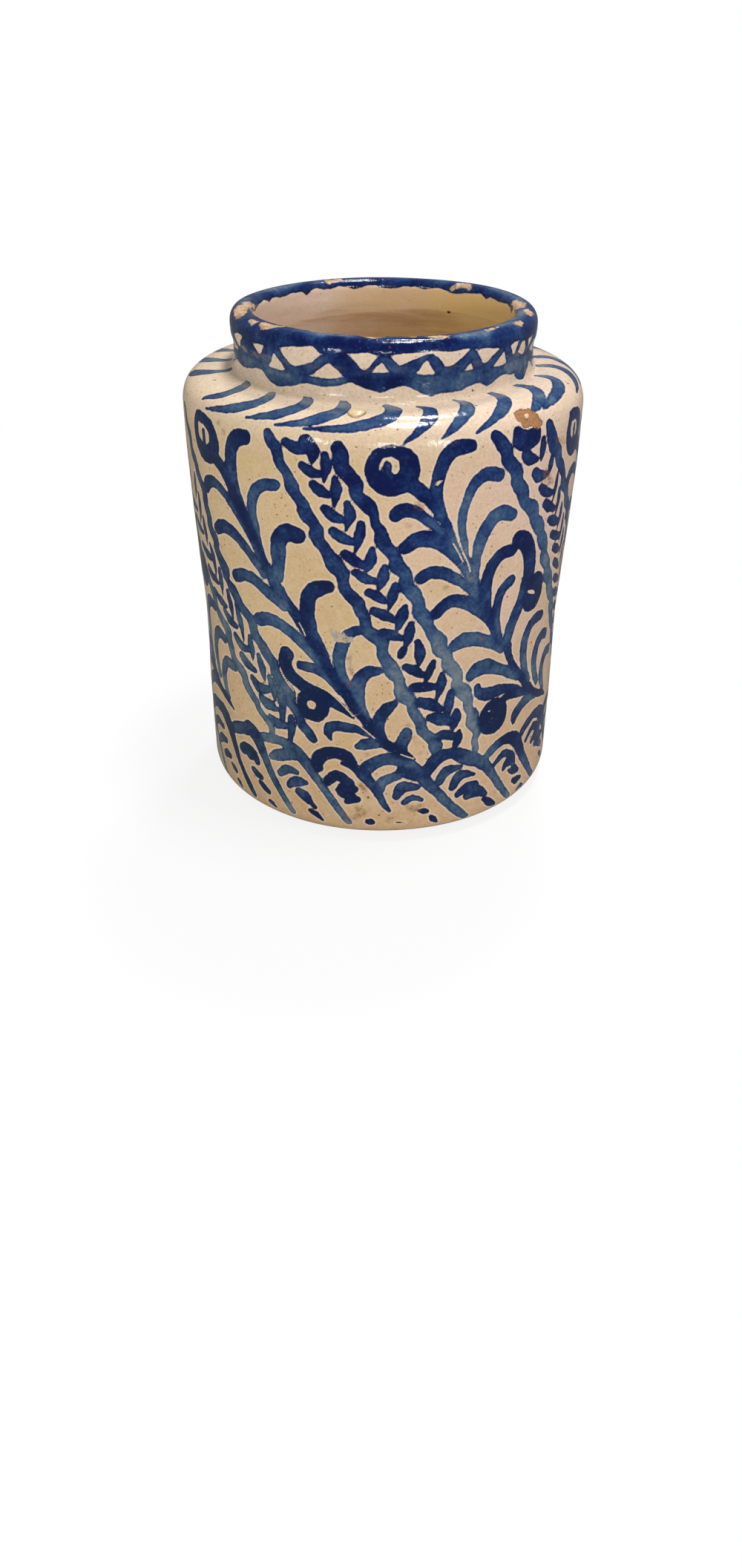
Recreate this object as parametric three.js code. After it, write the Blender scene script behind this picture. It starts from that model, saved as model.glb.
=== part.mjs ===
// Glazed earthenware storage jar, thrown in sections, brush painted and glazed inside and out.
// Millimetres, +Z up, origin at the centre of the flat underside, the best painted side facing -Y.
import * as THREE from 'three';

// Height of each thrown section, from the underside up
const footHeight = 17;
const footBand = 6;
const wallHeight = 223;
const shoulderHeight = 20.5;
const neckHeight = 16.5;
const rimHeight = 16.8;

// Outside of the clay: the widest radius, and how far each section stands in or out from the one before
const bodyRadius = 118.5;
const wallDrawIn = 7.2;
const footDrawIn = 25;
const shoulderDrawIn = 30.5;
const neckDrawIn = 1.4;
const rimOverhang = 2.3;

// Thickness of the clay
const floorThickness = 10;
const wallThickness = 9;
const shoulderThickness = 9;
const neckThickness = 10;
const lipThickness = 11.6;

// Roundness of the turned corners: 2 is a circle's arc, more is squarer
const footSquareness = 2.45;
const shoulderSquareness = 2.9;
const lipSquareness = 2.2;
const innerCornerRadius = 14;

// Glaze coats, and the clearance between touching pieces
const glazeThickness = 0.7;
const clearance = 0.3;
const bareFootHeight = 3;
const coatSeamGap = 0.3;

// Drop of glaze on the shoulder and bead in the kiln scar: angle round the jar from the front,
// place up the shoulder's turn from 0 at its widest to 1 at the neck, and size
const dropAngle = -7.5;
const dropTurn = 0.74;
const dropWidth = 9.5;
const dropHeight = 1.9;
const beadAngle = 41.5;
const beadTurn = 0.33;
const beadWidth = 5;
const beadHeight = 1.6;

// Facets round the jar and along its curves
const facets = 48;
const footSteps = 4;
const shoulderSteps = 7;
const lipSteps = 4;
const cornerSteps = 3;

// Radii and heights that follow from the sizes above
const wallFootRadius = bodyRadius - wallDrawIn;
const flatRadius = wallFootRadius - footDrawIn;
const neckFootRadius = bodyRadius - shoulderDrawIn;
const neckTopRadius = neckFootRadius - neckDrawIn;
const rimRadius = neckTopRadius + rimOverhang;
const mouthRadius = rimRadius - lipThickness;
const neckInside = neckFootRadius - neckThickness;
const wallInside = wallFootRadius - wallThickness;
const bodyInside = bodyRadius - wallThickness;
const slabTop = footHeight + footBand;
const wallTop = slabTop + wallHeight;
const shoulderTop = wallTop + shoulderHeight;
const neckTop = shoulderTop + neckHeight;
const rimTop = neckTop + rimHeight;
const crownUnderside = shoulderTop - shoulderThickness;

// The wall's outline: share of its height, and share of the draw-in that is left there
const wallStations = [
  [0, 1],
  [0.2, 0.87],
  [0.38, 0.9],
  [0.59, 0.5],
  [0.8, 0.16],
  [1, 0],
];

// Share of the rim's height that lies under its widest line, and of its width that is its flat crown
const rollWaist = 0.56;
const crownStart = 0.42;
const crownEnd = 0.7;

// A quarter turn from (r0, z0), leaving upright, to (r1, z1), arriving level: both ends are given points
function turnedCorner(r0, z0, r1, z1, squareness, steps) {
  const points = [];
  for (let step = 0; step <= steps; step += 1) {
    const angle = (Math.PI / 2) * (step / steps);
    const level = Math.abs(Math.cos(angle)) ** (2 / squareness);
    const upright = Math.sin(angle) ** (2 / squareness);
    const r = step === steps ? r1 : r1 + (r0 - r1) * level;
    points.push(new THREE.Vector2(r, z0 + (z1 - z0) * upright));
  }
  return points;
}

// Outside of each section, listed upwards, each starting where the one below it ends
function footOutside() {
  const corner = turnedCorner(wallFootRadius, footHeight, flatRadius, 0, footSquareness, footSteps);
  return [...corner.reverse(), new THREE.Vector2(wallFootRadius, slabTop)];
}

function wallOutside() {
  return wallStations.map(
    ([rise, left]) => new THREE.Vector2(bodyRadius - wallDrawIn * left, slabTop + wallHeight * rise),
  );
}

function shoulderOutside() {
  return turnedCorner(bodyRadius, wallTop, neckFootRadius, shoulderTop, shoulderSquareness, shoulderSteps);
}

function neckOutside() {
  return [new THREE.Vector2(neckFootRadius, shoulderTop), new THREE.Vector2(neckTopRadius, neckTop)];
}

function rimOutside() {
  const rollHeight = rimHeight * rollWaist;
  const points = [];
  for (let step = 0; step <= lipSteps; step += 1) {
    const share = step / lipSteps;
    const bulge = Math.sin((Math.PI / 2) * share);
    points.push(new THREE.Vector2(neckTopRadius + rimOverhang * bulge, neckTop + rollHeight * share));
  }
  const crownRadius = rimRadius - lipThickness * crownStart;
  const roll = turnedCorner(rimRadius, neckTop + rollHeight, crownRadius, rimTop, lipSquareness, lipSteps);
  return [...points, ...roll.slice(1)];
}

// Inside of each section, listed downwards
function rimInside() {
  const crownRadius = rimRadius - lipThickness * crownEnd;
  const rollHeight = rimHeight * rollWaist;
  const lip = turnedCorner(mouthRadius, neckTop + rollHeight, crownRadius, rimTop, lipSquareness, lipSteps);
  return [...lip.reverse(), new THREE.Vector2(neckInside, neckTop)];
}

function neckInsideWall() {
  return [new THREE.Vector2(neckInside, neckTop), new THREE.Vector2(neckInside, shoulderTop)];
}

function shoulderInside() {
  const corner = turnedCorner(bodyInside, wallTop, neckInside, crownUnderside, shoulderSquareness, shoulderSteps);
  return [new THREE.Vector2(neckInside, shoulderTop), ...corner.reverse()];
}

function wallInsideFace() {
  return [...wallOutside()].reverse().map((point) => new THREE.Vector2(point.x - wallThickness, point.y));
}

function footInside() {
  const cornerTop = floorThickness + innerCornerRadius;
  const cornerFoot = wallInside - innerCornerRadius;
  const corner = turnedCorner(wallInside, cornerTop, cornerFoot, floorThickness, 2, cornerSteps);
  const points = [];
  for (const point of corner) {
    if (point.y < slabTop) points.push(point);
  }
  return [new THREE.Vector2(wallInside, slabTop), ...points, new THREE.Vector2(0, floorThickness)];
}

// Each point of an outline moved square to the outline by a distance; points on the axis stay on it
function movedOut(outline, distance) {
  return outline.map((point, index) => {
    const before = outline[Math.max(index - 1, 0)];
    const after = outline[Math.min(index + 1, outline.length - 1)];
    const along = point.clone().sub(before);
    const onward = after.clone().sub(point);
    const first = along.lengthSq() > 0 ? along : onward;
    const second = onward.lengthSq() > 0 ? onward : along;
    const normalA = new THREE.Vector2(first.y, -first.x).normalize();
    const normalB = new THREE.Vector2(second.y, -second.x).normalize();
    const middle = normalA.clone().add(normalB).normalize();
    const reach = distance / middle.dot(normalA);
    const moved = point.clone().addScaledVector(middle, reach);
    if (point.x === 0) moved.x = 0;
    return moved;
  });
}

// Outline without points that repeat the one before
function withoutRepeats(outline) {
  return outline.filter((point, index) => index === 0 || point.distanceTo(outline[index - 1]) > 1e-6);
}

// A solid of revolution from an outline that runs up its outside and down its inside
function turned(outline) {
  const closed = withoutRepeats(outline);
  const first = closed[0];
  const last = closed[closed.length - 1];
  if (first.x > 0 || last.x > 0) closed.push(first.clone());
  return new THREE.LatheGeometry(closed, facets).rotateX(Math.PI / 2);
}

// A skin over an outline, from the clearance out to the clearance plus the glaze's thickness
function coat(outline) {
  const inner = movedOut(outline, clearance);
  const outer = movedOut(outline, clearance + glazeThickness);
  return turned([...outer, ...inner.reverse()]);
}

function piece(name, geometry, color, roughness) {
  const material = new THREE.MeshStandardMaterial({ color, roughness, metalness: 0 });
  const mesh = new THREE.Mesh(geometry, material);
  mesh.name = name;
  return mesh;
}

const clayColor = 0xb98a5e;
const clayRoughness = 0.75;
const paintedGlazeColor = 0xcdb085;
const honeyGlazeColor = 0xa87a3e;
const glazeRoughness = 0.15;

const jar = new THREE.Group();

// Floor slab with its rounded lower corner and the start of the wall
const slab = turned([new THREE.Vector2(0, 0), ...footOutside(), ...footInside()]);
jar.add(piece('floor_slab', slab, clayColor, clayRoughness));

// Upright body wall, slightly waisted below and widest at the shoulder
const wall = turned([...wallOutside(), ...wallInsideFace()]);
jar.add(piece('body_wall', wall, clayColor, clayRoughness));

// Shoulder turned in from the wall to the foot of the neck
const shoulder = turned([...shoulderOutside(), ...shoulderInside()]);
jar.add(piece('shoulder_ring', shoulder, clayColor, clayRoughness));

// Short upright neck
const neck = turned([...neckOutside(), ...neckInsideWall()]);
jar.add(piece('neck_collar', neck, clayColor, clayRoughness));

// Thick rolled rim
const rim = turned([...rimOutside(), ...rimInside()]);
jar.add(piece('rim_roll', rim, clayColor, clayRoughness));

// Painted outer glaze, from the bare strip above the underside up and over the rim's crown
const outerOutline = withoutRepeats([
  ...footOutside(),
  ...wallOutside(),
  ...shoulderOutside(),
  ...neckOutside(),
  ...rimOutside(),
  rimInside()[0],
]);
const glazed = outerOutline.filter((point) => point.y > bareFootHeight);
jar.add(piece('outer_glaze', coat(glazed), paintedGlazeColor, glazeRoughness));

// Honey glaze inside, from the lip down to the middle of the floor
const innerOutline = withoutRepeats([
  ...rimInside(),
  ...neckInsideWall(),
  ...shoulderInside(),
  ...wallInsideFace(),
  ...footInside(),
]);
const seam = innerOutline[0].clone().lerp(innerOutline[1], coatSeamGap / innerOutline[0].distanceTo(innerOutline[1]));
jar.add(piece('inner_glaze', coat([seam, ...innerOutline.slice(1)]), honeyGlazeColor, glazeRoughness));

// A low dome of glaze standing on the shoulder, its flat underside clear of the coat below it
function glazeDome(width, height, angle, turn) {
  const steps = 4;
  const outline = [new THREE.Vector2(0, 0)];
  for (let step = 0; step <= steps; step += 1) {
    const bend = (Math.PI / 2) * (step / steps);
    const r = step === steps ? 0 : (width / 2) * Math.cos(bend);
    outline.push(new THREE.Vector2(r, height * Math.sin(bend)));
  }
  const dome = new THREE.LatheGeometry(outline, 16).rotateX(Math.PI / 2);
  const bend = (Math.PI / 2) * turn;
  const level = Math.cos(bend) ** (2 / shoulderSquareness);
  const upright = Math.sin(bend) ** (2 / shoulderSquareness);
  const seatRadius = neckFootRadius + shoulderDrawIn * level;
  const seatHeight = wallTop + shoulderHeight * upright;
  const normal = new THREE.Vector2(
    level ** (shoulderSquareness - 1) / shoulderDrawIn,
    upright ** (shoulderSquareness - 1) / shoulderHeight,
  ).normalize();
  const lift = clearance + glazeThickness + clearance;
  const lean = Math.atan2(normal.x, normal.y);
  dome.rotateX(lean);
  dome.translate(0, -(seatRadius + normal.x * lift), seatHeight + normal.y * lift);
  return dome.rotateZ(THREE.MathUtils.degToRad(angle));
}

// Drop of pale glaze that fell on the shoulder, and bead of glaze left standing in the kiln scar
const drop = glazeDome(dropWidth, dropHeight, dropAngle, dropTurn);
jar.add(piece('glaze_drop', drop, 0xd9c08f, glazeRoughness));
const bead = glazeDome(beadWidth, beadHeight, beadAngle, beadTurn);
jar.add(piece('scar_bead', bead, 0xd9c08f, glazeRoughness));

export default jar;
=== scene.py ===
import math

import bmesh
import bpy
import numpy as np
from mathutils import Matrix, Vector


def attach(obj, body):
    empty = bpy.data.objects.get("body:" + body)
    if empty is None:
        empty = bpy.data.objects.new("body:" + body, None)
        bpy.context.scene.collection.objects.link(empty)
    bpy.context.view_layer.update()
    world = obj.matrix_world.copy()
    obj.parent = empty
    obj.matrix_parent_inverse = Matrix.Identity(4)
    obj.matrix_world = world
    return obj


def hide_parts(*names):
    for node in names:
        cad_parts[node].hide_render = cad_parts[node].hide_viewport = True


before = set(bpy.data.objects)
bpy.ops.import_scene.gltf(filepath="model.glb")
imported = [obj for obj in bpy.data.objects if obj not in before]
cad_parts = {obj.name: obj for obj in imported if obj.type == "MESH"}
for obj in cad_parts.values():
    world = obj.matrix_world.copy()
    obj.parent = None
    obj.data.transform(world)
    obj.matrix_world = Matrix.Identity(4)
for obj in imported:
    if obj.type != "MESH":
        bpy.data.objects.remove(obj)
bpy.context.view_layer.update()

# Fired clay: buff earthenware, thrown on a wheel in five sections that are joined wet, then fired.
# Only the underside and the last 3 mm above it show bare. The other sections stay as the CAD made
# them, under the glaze coats that follow.
MM = 0.001
flat_radius = 86.3
foot_radius = 111.3
foot_height = 17.0
slab_top = 23.0
foot_squareness = 2.45
inner_corner = 14.0
inner_squareness = 2.0
floor_top = 10.0
slab_inside_radius = 102.3
slab_edge_back = 0.2
hollow_of_flat = 0.6
flat_points = 30
flatness = 6
foot_steps = 20
inner_corner_steps = 8
clay_columns = 288
merge_distance = 2e-6
buff_clay = (196, 152, 108)
scorched_clay = (150, 104, 68)
clay_grit = (216, 178, 136)
clay_pore = (92, 62, 42)


def turned_corner(level_end, upright_end, squareness, steps):
    """Radius and height along a squared quarter circle, from its level end to its upright end."""
    turn = np.linspace(0.0, math.pi / 2, steps + 1)
    outward = np.sin(turn) ** (2 / squareness)
    downward = np.abs(np.cos(turn)) ** (2 / squareness)
    radius = level_end[0] + (upright_end[0] - level_end[0]) * outward
    height = upright_end[1] + (level_end[1] - upright_end[1]) * downward
    return np.stack([radius, height], axis=1)


def spun(name, outline, marks, columns, closed):
    """Turns an outline of radius and height round the jar's axis. Each point's mark goes round with it."""
    shape = bmesh.new()
    along = shape.verts.layers.float.new("along")
    points = []
    for (radius, height), mark in zip(outline, marks):
        point = shape.verts.new((0.0, -radius * MM, height * MM))
        point[along] = mark
        points.append(point)
    lines = [shape.edges.new(pair) for pair in zip(points, points[1:])]
    if closed:
        lines.append(shape.edges.new((points[-1], points[0])))
    eighth = math.pi / 4
    bmesh.ops.spin(
        shape,
        geom=points + lines,
        cent=(0, 0, 0),
        axis=(0, 0, 1),
        angle=eighth,
        steps=columns // 8,
    )
    for eighths in (1, 2, 4):
        everything = [*shape.verts, *shape.edges, *shape.faces]
        copy = bmesh.ops.duplicate(shape, geom=everything)["geom"]
        copied_points = [part for part in copy if isinstance(part, bmesh.types.BMVert)]
        onward = Matrix.Rotation(eighth * eighths, 3, "Z")
        bmesh.ops.rotate(shape, verts=copied_points, cent=(0, 0, 0), matrix=onward)
    bmesh.ops.remove_doubles(shape, verts=shape.verts, dist=merge_distance)
    bmesh.ops.recalc_face_normals(shape, faces=shape.faces)
    mesh = bpy.data.meshes.new(name)
    shape.to_mesh(mesh)
    shape.free()
    piece = bpy.data.objects.new(name, mesh)
    bpy.context.scene.collection.objects.link(piece)
    return piece


def smoothed(piece, crease=55.0):
    """Smooth shading, apart from edges that turn by more than the crease, in degrees."""
    piece.data.shade_smooth()
    piece.data.set_sharp_from_angle(angle=math.radians(crease))


def tint(colour):
    """A colour as a screen shows it, from 0 to 255, as Blender's own linear colour."""
    return (*(((part / 255 + 0.055) / 1.055) ** 2.4 for part in colour), 1.0)


def put(tree, kind, inputs=(), **settings):
    """Adds a node. Its inputs are pairs of a socket and what goes in: another node's output, or a value."""
    made = tree.nodes.new(kind)
    for name, value in settings.items():
        setattr(made, name, value)
    for socket, value in inputs:
        if isinstance(value, bpy.types.NodeSocket):
            tree.links.new(value, made.inputs[socket])
        else:
            made.inputs[socket].default_value = value
    return made


def empty_material(name):
    """A material with no nodes yet, and its node tree."""
    material = bpy.data.materials.new(name)
    material.use_nodes = True
    material.node_tree.nodes.clear()
    return material, material.node_tree


def cloudy(tree, size, detail=2.0, rough=0.5, shift=0.0, squash=1.0):
    """Noise from 0 to 1 with lumps of that size in millimetres, fixed to the jar, and squashed upright."""
    place = put(tree, "ShaderNodeTexCoord").outputs["Object"]
    moved = put(
        tree,
        "ShaderNodeMapping",
        [("Vector", place), ("Location", (shift, shift * 0.7, -shift)), ("Scale", (1.0, 1.0, squash))],
    )
    noise = put(
        tree,
        "ShaderNodeTexNoise",
        [("Vector", moved.outputs[0]), ("Scale", 1 / (size * MM)), ("Detail", detail), ("Roughness", rough)],
    )
    return noise.outputs["Fac"]


def ramp(tree, value, low, high, at_low=0.0, at_high=1.0):
    """Turns a value between low and high into one between at_low and at_high, and stops there."""
    made = put(
        tree,
        "ShaderNodeMapRange",
        [("Value", value), ("From Min", low), ("From Max", high), ("To Min", at_low), ("To Max", at_high)],
        clamp=True,
    )
    return made.outputs["Result"]


def sums(tree, operation, first, second):
    """One sum on two values."""
    return put(tree, "ShaderNodeMath", [(0, first), (1, second)], operation=operation).outputs[0]


def laid_over(tree, share, under, over):
    """The colour under, with the colour over laid on it by that share."""
    made = put(tree, "ShaderNodeMix", [(0, share), (6, under), (7, over)], data_type="RGBA")
    return made.outputs[2]


def surfaced(tree, colour, height, strength, depth, roughness):
    """Ends a material: its colour, bumps of that strength and depth in millimetres, and its roughness."""
    bumps = [("Strength", strength), ("Distance", depth * MM), ("Height", height)]
    bump = put(tree, "ShaderNodeBump", bumps)
    surface = put(
        tree,
        "ShaderNodeBsdfPrincipled",
        [("Base Color", colour), ("Normal", bump.outputs[0]), ("Roughness", roughness)],
    )
    put(tree, "ShaderNodeOutputMaterial", [("Surface", surface.outputs[0])])
    return surface


def clay_material():
    """Gritty buff clay with scorched clouds and fine pores."""
    material, tree = empty_material("fired buff clay")
    clouds = ramp(tree, cloudy(tree, 22.0, 4.0), 0.35, 0.68)
    colour = laid_over(tree, clouds, tint(buff_clay), tint(scorched_clay))
    grit = ramp(tree, cloudy(tree, 0.9, 3.0, 0.7, 0.3), 0.3, 0.75, 0.0, 0.5)
    colour = laid_over(tree, grit, colour, tint(clay_grit))
    pores = ramp(tree, cloudy(tree, 1.7, 1.0, 0.5, 0.9), 0.68, 0.76)
    colour = laid_over(tree, pores, colour, tint(clay_pore))
    height = sums(tree, "SUBTRACT", cloudy(tree, 1.1, 4.0, 0.7, 0.3), pores)
    surfaced(tree, colour, height, 0.35, 0.4, ramp(tree, grit, 0.0, 0.5, 0.92, 0.78))
    return material


fired_clay = clay_material()
for section in ("body_wall", "shoulder_ring", "neck_collar"):
    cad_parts[section].data.materials.clear()
    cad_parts[section].data.materials.append(fired_clay)

flat = np.array([[radius, 0.0] for radius in np.linspace(0.0, flat_radius, flat_points)])
flat[:, 1] += hollow_of_flat * (1 - (flat[:, 0] / flat_radius) ** flatness)
foot_corner = turned_corner((flat_radius, 0.0), (foot_radius, foot_height), foot_squareness, foot_steps)
inside_corner = turned_corner(
    (slab_inside_radius - inner_corner, floor_top),
    (slab_inside_radius, slab_top),
    inner_squareness,
    inner_corner_steps,
)
foot_outline = np.concatenate([
    flat,
    foot_corner[1:],
    [[foot_radius, slab_top], [slab_inside_radius - slab_edge_back, slab_top]],
    inside_corner[::-1][1:],
    [[0.0, floor_top]],
])
bare_foot = spun("bare_foot", foot_outline, np.zeros(len(foot_outline)), clay_columns, closed=False)
smoothed(bare_foot)
bare_foot.data.materials.append(fired_clay)
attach(bare_foot, "root")
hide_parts("floor_slab")

# Painted glaze on the wall: warm cream glaze, poured over the clay, with cobalt brushed on by hand
# before the firing. It is one coat, made here in two stretches. A place on it is given by degrees
# round from the front and millimetres up the outside.
glazed_flat_radius = 87.0
glazed_foot_radius = 112.3
bare_height = 3.0
foot_rows = 40
glaze_columns = 648
glaze_step = 1.1
coat_thickness = 0.9
face_points_per_back = 9
glazed_foot_steps = 40
shoulder_steps = 60
roll_points = 16
curve_step = 1.0
foot_arc = 18.0
wall_seam = 125.0
shoulder_end = 289.5
neck_end = 302.5
wall_curve = [
    (112.3, 17.0),
    (112.6, 35.0),
    (113.1, 67.0),
    (112.9, 107.0),
    (113.5, 126.0),
    (115.5, 156.0),
    (117.4, 187.0),
    (118.8, 216.0),
    (119.5, 246.0),
]
glazed_neck_foot = (89.0, 267.6)
shoulder_squareness = 2.9
neck_curve = [(88.9, 268.2), (88.3, 275.0), (87.6, 283.0)]
rim_radius = 89.9
rim_waist = 292.5
rim_top = 300.8
crown_outside = 84.0
crown_inside = 80.0
lip_radius = 76.2
lip_waist = 295.8
mouth_radius = 76.9
rim_skirt = 283.5

# Corners that are eased: from and to, in millimetres up the outside, and how many times
corners_eased = ((281.0, 298.0, 6), (298.5, 309.0, 8))

# How the paint is kept at each point: millimetres from the edge of a stroke or a mark, below 0
# inside it, and how much cobalt there is
hidden_mark = 1000.0
painted_marks = ("edge", "slit", "load", "worn", "bare", "stain")
far_off = 9.0
no_slit = 6000.0
unpainted_load = 0.6
hairline = 0.3
thinnest_stroke = 0.3
thinning_edge = 3.0
belt_repeat = 120.0
softening = 3
stroke_step = 1.6
stretch_points = 10

# The strips that the coat is laid out in for a bake, as shares of a square
strip_side = 0.003
strip_width = 0.994
strip_foot = 0.01
strip_height = 0.98
shown_height = 0.98

# How long and how deep the rings, waves and hollows of the throwing are
throwing_ring = 1.55
throwing_ring_depth = 0.05
slow_wave = 6.1
slow_wave_depth = 0.1
hand_hollow_depth = 0.14


def curved_through(points, step):
    """A smooth line through given points, with its own points about a step apart."""
    given = np.asarray(points, dtype=float)
    padded = np.concatenate([2 * given[:1] - given[1:2], given, 2 * given[-1:] - given[-2:-1]])
    pieces = []
    for before, start, end, after in zip(padded, padded[1:], padded[2:], padded[3:]):
        count = max(1, int(np.hypot(end[0] - start[0], end[1] - start[1]) / step))
        share = (np.arange(count) / count)[:, None]
        bend = 2 * before - 5 * start + 4 * end - after
        twist = 3 * start - before - 3 * end + after
        pieces.append(0.5 * (2 * start + (end - before) * share + bend * share**2 + twist * share**3))
    return np.concatenate([*pieces, given[-1:]])


def evenly(line, step):
    """The same line with its points about a step apart, and how far along it each is."""
    along = np.concatenate([[0.0], np.cumsum(np.hypot(*np.diff(line, axis=0).T))])
    places = np.linspace(0.0, along[-1], int(round(along[-1] / step)) + 1)
    points = [np.interp(places, along, line[:, 0]), np.interp(places, along, line[:, 1])]
    return np.stack(points, axis=1), places


def lean_of(line):
    """The direction in which a line runs at each of its points."""
    lean = np.gradient(line, axis=0)
    return lean / np.hypot(lean[:, 0], lean[:, 1])[:, None]


def glazed_outside():
    """The glazed outside from the flat's edge to the rim's inside, and how far up each point is."""
    flat_end = (glazed_flat_radius, 0.0)
    foot_end = (glazed_foot_radius, foot_height)
    foot = turned_corner(flat_end, foot_end, foot_squareness, glazed_foot_steps)
    wall = curved_through(wall_curve, curve_step)
    shoulder = turned_corner(glazed_neck_foot, wall_curve[-1], shoulder_squareness, shoulder_steps)[::-1]
    neck = curved_through(neck_curve, curve_step)
    turn = np.linspace(0.0, math.pi / 2, roll_points)
    belly = [
        neck_curve[-1][0] + (rim_radius - neck_curve[-1][0]) * np.sin(turn),
        neck_curve[-1][1] + (rim_waist - neck_curve[-1][1]) * (1 - np.cos(turn)),
    ]
    roll = [
        crown_outside + (rim_radius - crown_outside) * np.cos(turn),
        rim_waist + (rim_top - rim_waist) * np.sin(turn),
    ]
    lip = [
        crown_inside - (crown_inside - lip_radius) * np.sin(turn),
        rim_top - (rim_top - lip_waist) * (1 - np.cos(turn)),
    ]
    rounds = [np.stack(part, axis=1) for part in (belly, roll, lip)]
    raw = np.concatenate([foot, wall[1:], shoulder[1:], neck, *(part[1:] for part in rounds)])
    outline, along = evenly(np.concatenate([raw, [(mouth_radius, rim_skirt)]]), glaze_step)
    return outline, along - foot_arc


def eased(outline, up, low, high, rounds):
    """Softens the corner that lies between two places up the outline."""
    soft = outline.copy()
    inside = np.flatnonzero((up > low) & (up < high))
    for _ in range(rounds):
        soft[inside] = (soft[inside - 1] + 2 * soft[inside] + soft[inside + 1]) / 4
    return soft


outside, outside_up = glazed_outside()
for corner in corners_eased:
    outside = eased(outside, outside_up, *corner)
outside_lean = lean_of(outside)
outside_facing = np.stack([outside_lean[:, 1], -outside_lean[:, 0]], axis=1)


def coat_loop(low, high, hollow):
    """The closed outline of a stretch of coat: its face, then its back, or straight across if not hollow.
    With it goes how far up the outside each point is, plus the hidden mark for those behind the face."""
    taken = np.flatnonzero((outside_up >= low - 1e-6) & (outside_up <= high + 1e-6))
    face = outside[taken]
    up = outside_up[taken]
    if not hollow:
        middle = (face[0] + face[-1]) / 2
        middle_up = hidden_mark + (up[0] + up[-1]) / 2
        return np.concatenate([face, [middle]]), np.concatenate([up, [middle_up]])
    back = face - coat_thickness * outside_facing[taken]
    back_points = max(4, len(face) // face_points_per_back)
    kept = np.unique(np.linspace(0, len(face) - 1, back_points).astype(int))[::-1]
    return np.concatenate([face, back[kept]]), np.concatenate([up, up[kept] + hidden_mark])


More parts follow.
